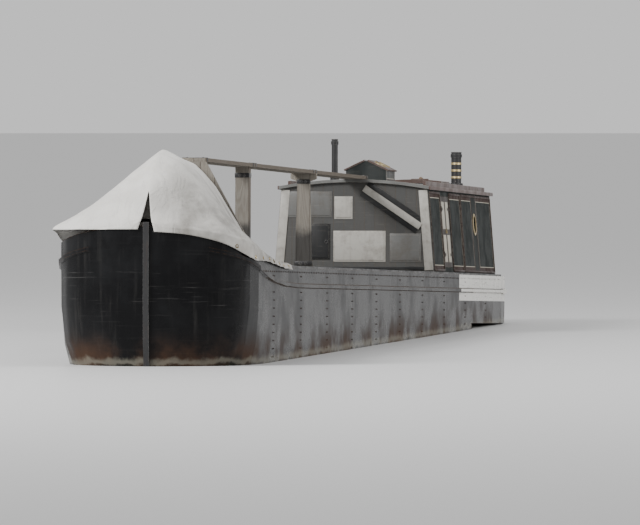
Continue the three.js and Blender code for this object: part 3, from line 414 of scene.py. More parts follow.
def hull_paint():
    web = Finish("bitumen_on_iron", 1.0, 0.8, edge=0.014, dusty=0.75)
    x, y, z = web.axes()
    behind = web.math("SUBTRACT", STEM_X, x)
    water = web.math("MULTIPLY_ADD", behind, math.tan(TRIM), BOW_DRAUGHT)
    ragged = web.summed(-0.08, (web.noise(5, 5, 0.65), 0.16))
    above = web.math("ADD", web.math("SUBTRACT", z, water), ragged)
    rubbed = web.step(web.off(z, RUBBED_Z), 0.42, 0.05)
    scraped = web.times(web.scrapes, web.summed(0.03, (rubbed, 0.22)))
    rusty = web.times(web.step(above, 0.42, 0.0), web.patches)
    scum = web.times(web.step(above, 0.0, 0.03), web.step(above, 0.10, 0.04))

    facing = web.axes(web.facing())
    white = web.times(web.step(behind, WHITE_FROM_AFT - WHITE_EDGE, WHITE_FROM_AFT + WHITE_EDGE),
                      web.step(z, WHITE_FROM_Z - WHITE_EDGE, WHITE_FROM_Z + WHITE_EDGE),
                      web.step(facing["Z"], 0.7, 0.4))
    chipped = web.math("MAXIMUM", web.times(web.scrapes, 0.7), web.edge)
    white = web.times(white, web.math("SUBTRACT", 1.0, chipped))
    grimy = web.layered(COUNTER_WHITE, (web.drips, 0.5, DUST))
    outward = web.times(facing["Y"], web.math("SIGN", y))
    inside = web.times(web.step(outward, 0.5, 0.3), web.step(behind, HOLD_FROM - 0.01, HOLD_FROM + 0.01),
                       web.step(behind, HOLD_TO + 0.05, HOLD_TO - 0.05))
    bare = web.layered(web.mix(web.patches, HOLD_IRON, HOLD_DUSTY), (web.drips, 0.7, RUST))
    tone = web.layered(
        web.mix(web.patches, BITUMEN, BITUMEN_GREY), (web.drips, 0.07, DUST), (scraped, 1, BARE_IRON),
        (web.edge, 0.6, RUST), (rusty, 0.5, RUST), (scum, 0.45, SCUM),
        (web.step(above, 0.02, -0.05), 1, WEED), (white, 1, grimy), (web.dust, 1, DUST), (inside, 1, bare))

    gloss = web.summed(0.24, (web.patches, 0.12), (web.dust, 0.5), (inside, 0.45), (rusty, 0.25), clamp=True)
    lap = web.step(web.math("PINGPONG", behind, PLATE_LENGTH), 0.0, 0.012)
    dented = web.times(web.noise(0.9, 2, 0.4), 9.0)
    height = web.summed(dented, (lap, 1.2), (web.brushed, 0.35))
    return web.done(tone, gloss, height, 0.0016, IOR=BITUMEN_IOR)


hull_black = hull_paint()
dress(hull_black, "bottom_plate", *HULL_SIDES, "uxter_plate", "hold_bulkhead")

# Round-headed rivets hold the plates: two rows at each upright lap, one row under the gunwale
# and one along the chine. They are set on the plating wherever a line from the side meets it.
RIVET_RADIUS = 0.010
RIVET_TALL = 0.006
RIVET_SIDES = 8
LAP_ROW = 0.036
LAP_PITCH = 0.085
RIM_PITCH = 0.12
CHINE_PITCH = 0.105
CHINE_Z = 0.10
RIM_Z = 1.245
RUBBING_Z = 1.10
RIVETS_FROM = 0.9
RIVETS_TO = 19.7
CHINE_TO = 16.9
LAP_FROM_END = 0.3
LAP_FROM_CHINE = 0.08
GUARD_HALF = 0.05
SIDES = (("port", 1), ("starboard", -1))


def standing_on(where, normal, lift=0.0):
    """The matrix that stands a piece made round +Z on a spot of a surface."""
    turn = normal.to_track_quat("Z", "Y").to_matrix().to_4x4()
    return Matrix.Translation(where + normal * lift) @ turn


def new_piece(name, shape, material, body="hull", smooth=0.6):
    """A finished bmesh becomes a piece that rides on a body and has its finish."""
    mesh = bpy.data.meshes.new(name)
    shape.to_mesh(mesh)
    shape.free()
    mesh.materials.append(material)
    mesh.shade_smooth()
    mesh.set_sharp_from_angle(angle=smooth)
    piece = linked(name, mesh)
    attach(piece, body)
    return piece


def cone(shape, radius, top, tall, sides, place=Matrix()):
    """Adds a cone about +Z to a shape, with its middle at a place."""
    bmesh.ops.create_cone(shape, cap_ends=True, segments=sides, radius1=radius, radius2=top, depth=tall,
                          matrix=place)
    return shape


def rivet_places(side):
    places = []
    lap = PLATE_LENGTH
    while lap < RIVETS_TO - LAP_FROM_END:
        for row in (-LAP_ROW, LAP_ROW):
            z = CHINE_Z + LAP_FROM_CHINE
            while z < RIM_Z - 0.005:
                if abs(z - RUBBING_Z) > GUARD_HALF:
                    places.append((aft(lap + row), z))
                z += LAP_PITCH
        lap += PLATE_LENGTH
    for pitch, z, end in ((RIM_PITCH, RIM_Z, RIVETS_TO), (CHINE_PITCH, CHINE_Z, CHINE_TO)):
        behind = RIVETS_FROM
        while behind < end:
            places.append((aft(behind), z))
            behind += pitch
    return places


plating = skin_of("fore_end", *HULL_SIDES)
for side_name, side in SIDES:
    rivets = bmesh.new()
    for x, z in rivet_places(side):
        found = spot_beside(plating, x, z, side)
        if found:
            cone(rivets, RIVET_RADIUS, RIVET_RADIUS * 0.55, RIVET_TALL, RIVET_SIDES,
                 standing_on(*found, lift=RIVET_TALL * 0.4))
    new_piece(f"rivets_{side_name}", rivets, hull_black)

# The gunwale strips are walked on, so their paint is worn through to dull iron and they are dusty.
# Stem bar, studs, skeg, rudder, tiller and chimneys are black iron, worn bright at the edges.
IRON_BLACK = (0.014, 0.014, 0.015)
IRON_WORN = (0.30, 0.29, 0.28)


def iron_finish(name, dusty=0.35, worn_edge=0.75, foot_rust=0.25):
    web = Finish(name, 2.6, 0.5, edge=0.006, dusty=dusty)
    bare = web.times(web.edge, worn_edge, clamp=True)
    tone = web.layered(
        web.mix(web.patches, IRON_BLACK, BITUMEN_GREY), (web.specks, foot_rust, RUST),
        (web.drips, 0.25, RUST), (bare, 1, IRON_WORN), (web.dust, 1, DUST))
    gloss = web.summed(0.34, (web.patches, 0.18), (web.dust, 0.4), clamp=True)
    return web.done(tone, gloss, web.brushed, 0.0012, 0.8, Metallic=web.times(bare, 0.8))


black_iron = iron_finish("black_iron")
walked_iron = iron_finish("walked_iron", dusty=0.95, worn_edge=0.9, foot_rust=0.5)
dress(black_iron, "stem_bar", "skeg", "rudder", "range")
dress(walked_iron, "gunwale_port", "gunwale_starboard")

# The bluff bow and the round counter are plated in smooth curves, so they are laid over the packed
# pieces as the same shape with its seams softened. So are the round studs, chimney and stack.
CURVE_SMOOTH = 0.36
ROUND_SMOOTH = 0.62
FLAT_WITHIN = 0.012


def smooth_copy(node, material, body="hull", angle=CURVE_SMOOTH):
    """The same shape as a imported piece, merged and shaded smooth over its curves."""
    shape = bmesh.new()
    shape.from_mesh(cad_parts[node].data)
    bmesh.ops.remove_doubles(shape, verts=shape.verts, dist=1e-5)
    bmesh.ops.dissolve_limit(shape, angle_limit=FLAT_WITHIN, verts=shape.verts, edges=shape.edges)
    bmesh.ops.recalc_face_normals(shape, faces=shape.faces)
    piece = new_piece(f"{node}_smooth", shape, material, body, angle)
    modifier = piece.modifiers.new("weighted", "WEIGHTED_NORMAL")
    modifier.keep_sharp = True
    modifier.weight = 100
    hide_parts(node)


for node in ("fore_end", "counter", "stern_swim"):
    smooth_copy(node, hull_black)
for node in ("bow_stud", "stern_stud_port", "stern_stud_starboard", "chimney", "exhaust_stack"):
    smooth_copy(node, black_iron, angle=ROUND_SMOOTH)

# The canvas over the fore end is heavy white cotton, sewn from widths, with a wide hem and brass
# eyelets. It hangs from the ridge over two frames and is drawn down to the gunwale in soft folds.
# Its port side is darkened low down in mottled patches, which is painted shade.
CANVAS_WHITE = (0.66, 0.645, 0.61)
CANVAS_GREY = (0.42, 0.405, 0.375)
# The darkest canvas colour below is painted shade, laid over the lower half of the port side.
CANVAS_STAIN = (0.24, 0.20, 0.155)
CANVAS_SHADE = (0.115, 0.105, 0.092)
CANVAS_SHEEN = 0.15
CLOTH_THICK = 0.003
THIN_RIM = 0.014
UNDER_CLOTH = 1.15
NOSE_AT = 0.9
RIDGE_CREASE = 0.62
RIM_CREASE = 0.8
CLOTH_CLEAR = 0.018
CLOTH_REACH = 0.12
CLOTH_TOP = 3.0
EDGE_LOOKS = (0.0, 0.015, 0.03, 0.045)
FOLD_TOP = 2.5
FOLD_DEEP = 0.011
FOLD_PITCH = 0.27
SEAM_PITCH = 0.72
EYELET_FROM = 0.35
EYELET_PITCH = 0.33
EYELET_RADIUS = 0.017
EYELET_THICK = 0.0045
EYELET_UP = 0.032
EYELET_COUNT = 8
HEM_LOW = 1.28
HEM_HIGH = 1.75
HEM_STEP = 0.005
LYING = Matrix.Rotation(math.pi / 2, 4, "X")


def outer_cloth():
    """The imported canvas's outer skin only, as quads, with its ridge kept fairly sharp."""
    shape = bmesh.new()
    shape.from_mesh(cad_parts["canvas_cover"].data)
    bmesh.ops.remove_doubles(shape, verts=shape.verts, dist=1e-5)
    inner = []
    for face in shape.faces:
        centre = face.calc_center_median()
        middle = Vector((min(centre.x, aft(NOSE_AT)), 0, UNDER_CLOTH))
        longest = max(edge.calc_length() for edge in face.edges)
        if face.normal.dot(centre - middle) < 0 or 2 * face.calc_area() / longest < THIN_RIM:
            inner.append(face)
    bmesh.ops.delete(shape, geom=inner, context="FACES")
    bmesh.ops.join_triangles(
        shape, faces=shape.faces, angle_face_threshold=1.2, angle_shape_threshold=3.1)
    crease = shape.edges.layers.float.new("crease_edge")
    for edge in shape.edges:
        if all(abs(vert.co.y) < 1e-4 for vert in edge.verts):
            edge[crease] = RIDGE_CREASE
        if edge.is_boundary:
            edge[crease] = RIM_CREASE
    return shape


def finished_mesh(shape, name, *steps):
    """A bmesh with modifiers run on it: each step is a kind and its settings."""
    mesh = bpy.data.meshes.new(name)
    shape.to_mesh(mesh)
    shape.free()
    working = linked(name, mesh)
    for kind, settings in steps:
        modifier = working.modifiers.new(kind.lower(), kind)
        for key, value in settings.items():
            setattr(modifier, key, value)
    evaluated = working.evaluated_get(bpy.context.evaluated_depsgraph_get())
    made = bpy.data.meshes.new_from_object(evaluated)
    bpy.data.objects.remove(working)
    bpy.data.meshes.remove(mesh)
    result = bmesh.new()
    result.from_mesh(made)
    bpy.data.meshes.remove(made)
    return result


def fold_depth(co):
    """Soft folds that run down from the ridge and deepen towards the foot."""
    down = min(1.0, max(0.0, (FOLD_TOP - co.z) / 1.1))
    loose = min(1.0, 4 * down)
    behind = STEM_X - co.x
    along = behind / FOLD_PITCH + 0.35 * noise.noise(co * 1.7) * 3
    wave = math.sin(2 * math.pi * along) * down ** 1.4
    crumple = noise.noise(co * 4.2) * 0.7 + noise.noise(co * 9.5) * 0.35
    return FOLD_DEEP * (0.75 * wave + (0.8 * crumple - 0.4) * loose)


def kept_off_sides(shape, tree):
    """Moves cloth that hangs beside the plating straight outwards, clear of it."""
    for vert in shape.verts:
        where, normal, _, _ = tree.find_nearest(vert.co, CLOTH_REACH)
        if where is None or vert.co.z > where.z + 0.003:
            continue
        outwards = Vector((normal.x, normal.y, 0)).normalized()
        short = CLOTH_CLEAR - (vert.co - where).dot(outwards)
        if short > 0:
            vert.co += outwards * short


def kept_off_tops(shape, tree):
    """Lifts cloth that lies on the gunwale, or comes down to its inner edge, clear of its top."""
    for vert in shape.verts:
        side = math.copysign(1, vert.co.y)
        for beyond in EDGE_LOOKS:
            above = Vector((vert.co.x, vert.co.y + side * beyond, CLOTH_TOP))
            where, _, _, _ = tree.ray_cast(above, Vector((0, 0, -1)))
            if where and where.z - vert.co.z < CLOTH_REACH:
                vert.co.z = max(vert.co.z, where.z + CLOTH_CLEAR)


smooth_cloth = ("SUBSURF", {"levels": 3, "render_levels": 3})
cloth = finished_mesh(outer_cloth(), "canvas_work", smooth_cloth)
cloth.normal_update()
for vert in cloth.verts:
    vert.co += vert.normal * fold_depth(vert.co)
under_canvas = ("fore_end", "hold_side_port", "hold_side_starboard", "gunwale_port",
                "gunwale_starboard", "stem_bar")
kept_off_sides(cloth, skin_of(*under_canvas, slopes=(-0.5, 0.5)))
kept_off_tops(cloth, skin_of(*under_canvas, slopes=(0.5, 1.0)))


def canvas_finish():
    web = Finish("white_canvas", 1.7, 0.8)
    x, y, z = web.axes()
    warp = web.noise(1.0, 1, stretch=(900, 60, 60))
    weft = web.noise(1.0, 1, stretch=(60, 700, 700))
    weave = web.math("ADD", warp, weft)
    seam = web.math("PINGPONG", web.math("SUBTRACT", STEM_X, x), SEAM_PITCH / 2)
    sewn = web.step(seam, 0.014, 0.010)
    stitches = web.step(web.off(seam, 0.011), 0.003, 0.001)
    stained = web.times(web.step(z, 1.95, 1.35), web.blotches(3.1, 6, 0.65, 0.4, 0.7))
    rumpled = web.noise(2.6, 4, 0.5, 1.4, stretch=(1.0, 1.0, 0.55))
    creased = web.step(web.off(rumpled, 0.5), 0.0, 0.09)
    # Painted shade: the port side's lower half is darkened in mottled patches, shade painted into the
    # cloth's colour.
    port_shade = web.times(web.step(y, -0.05, 0.40), web.step(z, 2.55, 1.75))
    tone = web.layered(
        CANVAS_WHITE, (web.patches, 0.35, CANVAS_GREY), (web.drips, 0.22, CANVAS_GREY),
        (stained, 0.42, CANVAS_STAIN), (port_shade, web.summed(0.40, (web.patches, 0.32)), CANVAS_SHADE),
        (web.specks, 0.12, CANVAS_STAIN), (stitches, 0.35, CANVAS_GREY))
    rough = web.summed(0.82, (weave, 0.08), clamp=True)
    height = web.summed(web.times(creased, 1.2), (weave, 0.10), (sewn, 0.9), (stitches, -0.4))
    return web.done(tone, rough, height, 0.003, **{"Sheen Weight": CANVAS_SHEEN})


white_canvas = canvas_finish()

canvas_thickness = ("SOLIDIFY", {"thickness": CLOTH_THICK, "offset": -1.0})
cloth_skin = BVHTree.FromBMesh(cloth)
thick_cloth = finished_mesh(cloth, "canvas_work", canvas_thickness)
canvas = new_piece("canvas", thick_cloth, white_canvas, smooth=1.2)
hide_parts("canvas_cover")


def spun(shape, edges, around, weld=False):
    """Edges swept once round +Z."""
    bmesh.ops.spin(shape, geom=edges, cent=(0, 0, 0), axis=(0, 0, 1), angle=2 * math.pi,
                   steps=around, use_merge=True)
    if weld:
        bmesh.ops.remove_doubles(shape, verts=shape.verts, dist=1e-5)
    bmesh.ops.recalc_face_normals(shape, faces=shape.faces)
    return shape


def ring_of(radius, thick, around=16, section=6):
    """A round-wired ring about +Z."""
    shape = bmesh.new()
    bmesh.ops.create_circle(shape, segments=section, radius=thick,
                            matrix=Matrix.Translation((radius, 0, 0)) @ LYING)
    return spun(shape, shape.edges[:], around)


def add_all(shape, part, *places):
    """Adds a part to a larger shape at each of some places, and lets the part go."""
    for place in places:
        mesh = bpy.data.meshes.new("part")
        part.to_mesh(mesh)
        mesh.transform(place)
        shape.from_mesh(mesh)
        bpy.data.meshes.remove(mesh)
    part.free()


def hem_spot(behind, side):
    """The place of an eyelet: a little above the cloth's foot."""
    z = HEM_LOW
    while z < HEM_HIGH:
        found = spot_beside(cloth_skin, aft(behind), z, side)
        if found:
            return cloth_skin.find_nearest(found[0] + Vector((0, 0, EYELET_UP)))[:2]
        z += HEM_STEP
    return None


def metal_finish(name, colour, tarnish, rough=0.28, dull=0.5):
    web = Finish(name, 6.0, 0.4, edge=0.003, dusty=0.3)
    tone = web.layered(colour, (web.patches, dull, tarnish), (web.specks, dull, tarnish),
                       (web.edge, 0.5, colour), (web.dust, 1, DUST))
    gloss = web.summed(rough, (web.patches, 0.2), (web.dust, 0.4), clamp=True)
    return web.done(tone, gloss, web.brushed, 0.0006, 0.6, Metallic=1.0)


BRASS = (0.62, 0.50, 0.28)
BRASS_BROWN = (0.17, 0.13, 0.07)

brass = metal_finish("old_brass", BRASS, BRASS_BROWN)

eyelets = bmesh.new()
spots = [hem_spot(EYELET_FROM + count * EYELET_PITCH, side)
         for side in (1, -1) for count in range(EYELET_COUNT)]
add_all(eyelets, ring_of(EYELET_RADIUS, EYELET_THICK),
        *(standing_on(*spot, lift=0.001) for spot in spots if spot))
eyelets_piece = new_piece("canvas_eyelets", eyelets, brass)

# The hold is fitted out in deal: floor boards laid across, a box mast and a plank stand on cross
# beams, and top planks that run from the canvas to the cabin roof. It's old, grey and scuffed.
DEAL = (0.27, 0.22, 0.16)
DEAL_GREY = (0.165, 0.152, 0.132)
DEAL_DARK = (0.085, 0.066, 0.048)
DEAL_WORN = (0.27, 0.245, 0.205)
PLANK_PALE = (0.25, 0.22, 0.175)
FOOT_BLACK = (0.016, 0.015, 0.014)
BLACK_UP_TO = 1.86
BLACK_FADES = 0.18
FLOOR_BOARD = 0.23
PLANK_BOARD = 0.13
BEAM_BOARD = 0.5
ALONG_X = (0, 0, 0)
ALONG_Y = (0, 0, math.pi / 2)
ALONG_Z = (0, math.pi / 2, 0)


def grain_group():
    """Sawn boards: the grain runs along X and the boards lie side by side across Y."""
    web = Group("timber_grain", "Grain Tone Seam Knots Height", Board=0.2)
    x, y, z = web.axes()
    count = web.math("DIVIDE", y, web.given["Board"])
    number = web.math("FLOOR", count)
    inside = web.math("SUBTRACT", count, number)
    nearest = web.math("MINIMUM", inside, web.math("SUBTRACT", 1.0, inside))
    seam = web.step(web.times(nearest, web.given["Board"]), 0.0035, 0.0012)
    tone = web.add("TexWhiteNoise", {"W": number}, noise_dimensions="1D").outputs["Value"]
    web.place = web.add("CombineXYZ", {0: web.summed(x, (tone, 37.0)), 1: y, 2: z}).outputs[0]
    fibres = web.noise(1.6, 5, 0.65, stretch=(2.2, 60, 60))
    figure = web.noise(1.0, 3, 0.5, 0.6, stretch=(0.55, 6.5, 6.5))
    figure = web.step(web.math("PINGPONG", web.times(figure, 11.0), 0.5), 0.08, 0.42)
    cells = web.add("TexVoronoi", {"Vector": web.stretched((1.5, 8, 8)), "Scale": 1.0})
    grain = web.summed(web.times(fibres, 0.5), (figure, 0.6), clamp=True)
    return web.giving(
        Grain=grain, Tone=tone, Seam=seam, Knots=web.step(cells.outputs["Distance"], 0.12, 0.05),
        Height=web.summed(grain, (seam, -3.0)))


timber_grain = grain_group()


def timber_finish(name, turn, board, shift=0.0, pale=DEAL, grey=DEAL_GREY, dirty=0.5, foot=0.0):
    """Weathered deal; an upright is darkened near-black from its foot up to a given height."""
    web = Finish(name, 2.0, 0.4, edge=0.008, dusty=0.4)
    wood = web.group(timber_grain, web.stretched((1, 1, 1), turn, (0, shift, 0)), Board=board)
    grimy = web.math("MAXIMUM", web.drips, web.specks)
    tone = web.layered(
        web.mix(wood["Tone"], pale, grey), (web.patches, 0.5, grey), (wood["Grain"], 0.35, DEAL_DARK),
        (wood["Knots"], 0.7, DEAL_DARK), (grimy, dirty, DEAL_DARK), (wood["Seam"], 0.85, DEAL_DARK),
        (web.edge, 0.5, pale), (web.dust, 0.6, DUST))
    # The lower part of an upright is made near-black up to a given height, with a ragged, fading edge.
    if foot:
        ragged = web.summed(-0.15, (web.noise(6, 5, 0.65), 0.3))
        height = web.math("ADD", web.axes()["Z"], ragged)
        tone = web.layered(tone, (web.step(height, foot, foot - BLACK_FADES), 0.9, FOOT_BLACK))
    gloss = web.summed(0.68, (wood["Grain"], 0.15), clamp=True)
    return web.done(tone, gloss, wood["Height"], 0.0022)


upright = {"turn": ALONG_Z, "board": 0.15, "shift": 0.075, "pale": DEAL_WORN, "dirty": 0.3}
floor_deal = timber_finish("floor_deal", ALONG_Y, FLOOR_BOARD, dirty=0.7)
plank_deal = timber_finish("plank_deal", ALONG_X, PLANK_BOARD, pale=PLANK_PALE)
frame_deal = timber_finish("frame_deal", **upright)
upright_deal = timber_finish("upright_deal", foot=BLACK_UP_TO, **upright)
beam_deal = timber_finish("beam_deal", ALONG_Y, BEAM_BOARD)
dress(floor_deal, "hold_floor", "engine_room_floor")
dress(plank_deal, "top_plank_fore", "top_plank_middle", "top_plank_aft")
dress(upright_deal, "mast", "plank_stand")
dress(frame_deal, "fore_frame", "cratch_board")
dress(beam_deal, "mast_beam", "stand_beam")

# Flat iron holds the timber together: straps with bolt heads round the mast and the stand, and
# over the planks' ends.
STRAP_THICK = 0.005
STRAP_WIDE = 0.05
STRAP_LEVELS = (0.34, 1.36, 2.30)
STRAP_FROM_END = 0.06
STRAP_BOLTS = 0.085
BOLT_RADIUS = 0.011


def block(shape, low, high, round_by=0.003, segments=2, place=None):
    """A box between two corners with its edges rounded, added to a shape."""
    part = bmesh.new()
    bmesh.ops.create_cube(part, size=1.0)
    low, high = Vector(low), Vector(high)
    bmesh.ops.scale(part, vec=high - low, verts=part.verts)
    bmesh.ops.translate(part, vec=(low + high) / 2, verts=part.verts)
    bmesh.ops.bevel(part, geom=part.edges[:], offset=round_by, segments=segments, profile=0.5,
                    affect="EDGES", material=-1)
    add_all(shape, part, place or Matrix())


def bolt_head(radius=BOLT_RADIUS, tall=0.008):
    """A bolt's head on its washer, about +Z."""
    head = cone(bmesh.new(), radius * 1.6, radius * 1.5, 0.003, 16, Matrix.Translation((0, 0, 0.001)))
    return cone(head, radius, radius * 0.82, tall, 6, Matrix.Translation((0, 0, tall / 2)))


def bolts(shape, head, way, spots):
    """Bolt heads on some spots of a face that looks one way."""
    add_all(shape, head, *(standing_on(spot, way) for spot in spots))


def skin_from(tree, spot, way):
    """Where a solid ends one way from a place inside it."""
    return tree.ray_cast(spot + way * 2, -way)[0]


def strap_round(shape, node, z):
    """An iron strap round an upright, with bolts on its fore and aft faces."""
    low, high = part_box(node)
    tree = skin_of(node)
    middle = Vector(((low.x + high.x) / 2, 0, z + STRAP_WIDE / 2))
    half_y = skin_from(tree, middle, Vector((0, 1, 0))).y
    beside = middle + Vector((0, half_y * 0.7, 0))
    half_x = skin_from(tree, beside, Vector((1, 0, 0))).x - middle.x
    top = z + STRAP_WIDE
    for at in (-half_x - STRAP_THICK, half_x):
        block(shape, (middle.x + at, -half_y - STRAP_THICK, z),
              (middle.x + at + STRAP_THICK, half_y + STRAP_THICK, top), 0.001)
    for at in (-half_y - STRAP_THICK, half_y):
        block(shape, (middle.x - half_x - STRAP_THICK, at, z),
              (middle.x + half_x + STRAP_THICK, at + STRAP_THICK, top), 0.001)
    for way in (Vector((1, 0, 0)), Vector((-1, 0, 0))):
        face = middle + way * (half_x + STRAP_THICK)
        bolts(shape, bolt_head(), way, [face + Vector((0, y, 0)) for y in (-half_y / 3, half_y / 3)])


def strap_over(shape, node, x):
    """An iron strap over the top and down both edges of a plank."""
    low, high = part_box(node)
    top = high.z + STRAP_THICK
    block(shape, (x, low.y - STRAP_THICK, high.z), (x + STRAP_WIDE, high.y + STRAP_THICK, top), 0.001)
    for at in (low.y - STRAP_THICK, high.y):
        block(shape, (x, at, low.z + 0.004), (x + STRAP_WIDE, at + STRAP_THICK, top), 0.001)
    bolts(shape, bolt_head(0.008, 0.005), Vector((0, 0, 1)),
          [Vector((x + STRAP_WIDE / 2, y, top)) for y in (-STRAP_BOLTS, STRAP_BOLTS)])


straps = bmesh.new()
for node in ("mast", "plank_stand"):
    for z in STRAP_LEVELS:
        strap_round(straps, node, z)
for node in ("top_plank_fore", "top_plank_middle", "top_plank_aft"):
    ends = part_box(node)
    strap_over(straps, node, ends[0].x + STRAP_FROM_END)
    strap_over(straps, node, ends[1].x - STRAP_FROM_END - STRAP_WIDE)
new_piece("timber_straps", straps, black_iron)

# The engine room and cabin have wooden sides that lean inwards, painted in dark panels with plain
# borders and a thin cream line, and grown dull and chipped. Mouldings frame each stretch of them.
PANEL_DARK = (0.016, 0.020, 0.019)
BORDER_DARK = (0.046, 0.029, 0.025)
LINING = (0.50, 0.47, 0.39)
PRIMER = (0.30, 0.275, 0.235)
WALL_LEAN = math.atan(0.080 / 0.990)
WALL_FOOT = (0.962, 1.310)
MOULD_WIDE = 0.026
MOULD_PROUD = 0.011
SIDE_PANELS = ((14.36, 15.27), (16.01, 17.00), (17.04, 18.02), (18.38, 19.74))
SIDE_FRAMES = ((14.37, 15.24), (16.04, 16.99), (17.06, 19.73))
PANEL_LEVELS = (1.335, 2.262)
STAIN_SCALE = 6.5


def border_group():
    """The border of a panel and the thin line inside it, from the place along and up."""
    web = Group("panel_border", "Border Line", MiddleX=0.0, MiddleZ=1.8, HalfX=0.5, HalfZ=0.4, Wide=0.06)
    x, _, z = web.axes()
    beyond_x = web.math("SUBTRACT", web.off(x, web.given["MiddleX"]), web.given["HalfX"])
    beyond_z = web.math("SUBTRACT", web.off(z, web.given["MiddleZ"]), web.given["HalfZ"])
    outermost = web.math("MAXIMUM", beyond_x, beyond_z)
    beyond = web.math("ADD", outermost, web.given["Wide"])
    inside = web.step(outermost, 0.0015, -0.0015)
    line = web.step(web.math("ABSOLUTE", beyond), 0.0042, 0.0030)
    border = web.step(beyond, -0.001, 0.001)
    return web.giving(Border=web.times(border, inside), Line=web.times(line, inside))


panel_border = border_group()


def paint_finish(name, colour, panels=(), worn_by=0.5, gloss=0.34, boards=0.0, turn=ALONG_Z, wide=0.06,
                 stains=0.0, ior=1.4):
    """Old brushed paint on wood: brush marks, chips along edges, runs, dust and lined panels."""
    web = Finish(name, 2.2, 0.7, edge=0.007, dusty=0.5)
    faded = tuple(0.85 * channel + 0.015 for channel in colour)
    tone = web.mix(web.patches, colour, web.mix(0.5, colour, faded))
    if panels:
        outwards = web.times(web.axes(web.facing())["Y"], web.axes()["Y"])
        outside = web.step(outwards, 0.02, 0.12)
    for middle_x, middle_z, half_x, half_z in panels:
        lines = web.group(panel_border, MiddleX=middle_x, MiddleZ=middle_z, HalfX=half_x, HalfZ=half_z,
                          Wide=wide)
        tone = web.layered(tone, (lines["Border"], outside, BORDER_DARK), (lines["Line"], outside, LINING))
    height = web.brushed
    if boards:
        wood = web.group(timber_grain, web.stretched((1, 1, 1), turn), Board=boards)
        tone = web.layered(tone, (wood["Seam"], 0.8, DEAL_DARK), (wood["Tone"], 0.15, DEAL_DARK))
        height = web.summed(height, (wood["Height"], 1.2))
    chipped = web.math("MAXIMUM", web.edge, web.times(web.scrapes, 0.30))
    tone = web.layered(tone, (chipped, worn_by, PRIMER), (web.drips, 0.30 * worn_by, DEAL_DARK),
                       (web.specks, 0.22 * worn_by, DEAL_DARK))
    if stains:
        tone = web.layered(tone, (web.blotches(STAIN_SCALE, 6, 0.7, 0.42, 0.72), stains, DEAL_DARK))
    rough = web.summed(gloss, (web.patches, 0.16), (web.dust, 0.45), clamp=True)
    return web.done(web.mix(web.dust, tone, DUST), rough, height, 0.0010, 0.7, IOR=ior)


def panel_box(ends, levels):
    """A panel's middle and half sizes, from how far aft it starts and ends."""
    middle = aft(sum(ends) / 2)
    return middle, sum(levels) / 2, (ends[1] - ends[0]) / 2, (levels[1] - levels[0]) / 2


side_panels = [panel_box(ends, PANEL_LEVELS) for ends in SIDE_PANELS]
side_paint = paint_finish("side_paint", PANEL_DARK, side_panels, ior=1.05)
mould_paint = paint_finish("moulding_paint", BORDER_DARK, worn_by=0.8, ior=1.12)
dress(side_paint, "cabin_wall_port", "cabin_wall_starboard")


def on_wall(side, behind, z, lift=0.0):
    """Stands a piece on a cabin side: its X runs along, its Y up the wall, its Z outwards."""
    outwards = Vector((0, side * math.cos(WALL_LEAN), math.sin(WALL_LEAN)))
    upwards = Vector((0, -side * math.sin(WALL_LEAN), math.cos(WALL_LEAN)))
    y = side * (WALL_FOOT[0] - (z - WALL_FOOT[1]) * math.tan(WALL_LEAN))
    turn = Matrix((upwards.cross(outwards), upwards, outwards)).transposed().to_4x4()
    return Matrix.Translation(Vector((aft(behind), y, z)) + outwards * lift) @ turn


def board(shape, place, half_x, half_y, top, base=0.0, round_by=0.003, segments=2):
    """A flat board on a wall, about its place there."""
    block(shape, (-half_x, -half_y, base), (half_x, half_y, top), round_by, segments, place)


def moulding_frame(shape, side, ends, levels):
    """Four mouldings round a panel of the cabin side."""
    middle, middle_z, half, half_z = panel_box(ends, levels)
    for z in levels:
        board(shape, on_wall(side, STEM_X - middle, z), half, MOULD_WIDE / 2, MOULD_PROUD, 0.0, 0.008, 3)
    tall = 2 * half_z / math.cos(WALL_LEAN)
    for behind in ends:
        block(shape, (-MOULD_WIDE / 2, 0, 0), (MOULD_WIDE / 2, tall, MOULD_PROUD), 0.008, 3,
              on_wall(side, behind, levels[0]))


for side_name, side in SIDES:
    mouldings = bmesh.new()
    for ends in SIDE_FRAMES:
        moulding_frame(mouldings, side, ends, PANEL_LEVELS)
    new_piece(f"side_mouldings_{side_name}", mouldings, mould_paint)

# Each cabin side has a round port with a brass rim, held by screws, and thick old glass.
PORT_AT = 18.20
PORT_Z = WALL_FOOT[1] + 0.610 * math.cos(WALL_LEAN)
PORT_RADIUS = 0.115
RIM_WIDE = 0.032
RIM_PROFILE = ((0, 0), (0.02, 0.75), (0.18, 1), (0.5, 0.86), (0.82, 0.8), (0.97, 0.5), (1, 0))
GLASS_DARK = (0.012, 0.015, 0.016)
GLASS_SMEAR = (0.05, 0.055, 0.052)


def rim_of(inner, wide, proud, around=40):
    """A flat rim with rounded edges round a hole, about +Z."""
    shape = bmesh.new()
    profile = [shape.verts.new((inner + wide * along, 0, proud * up)) for along, up in RIM_PROFILE]
    edges = [shape.edges.new(pair) for pair in zip(profile, profile[1:] + profile[:1])]
    return spun(shape, edges, around)


def glass_disc(radius, thick, around=40):
    """A pane with rounded edges, about +Z."""
    shape = cone(bmesh.new(), radius, radius, thick, around)
    level = [edge for edge in shape.edges if abs(edge.verts[0].co.z - edge.verts[1].co.z) < 1e-6]
    bmesh.ops.bevel(shape, geom=level, offset=thick * 0.4, segments=2, profile=0.5, affect="EDGES",
                    material=-1)
    return shape


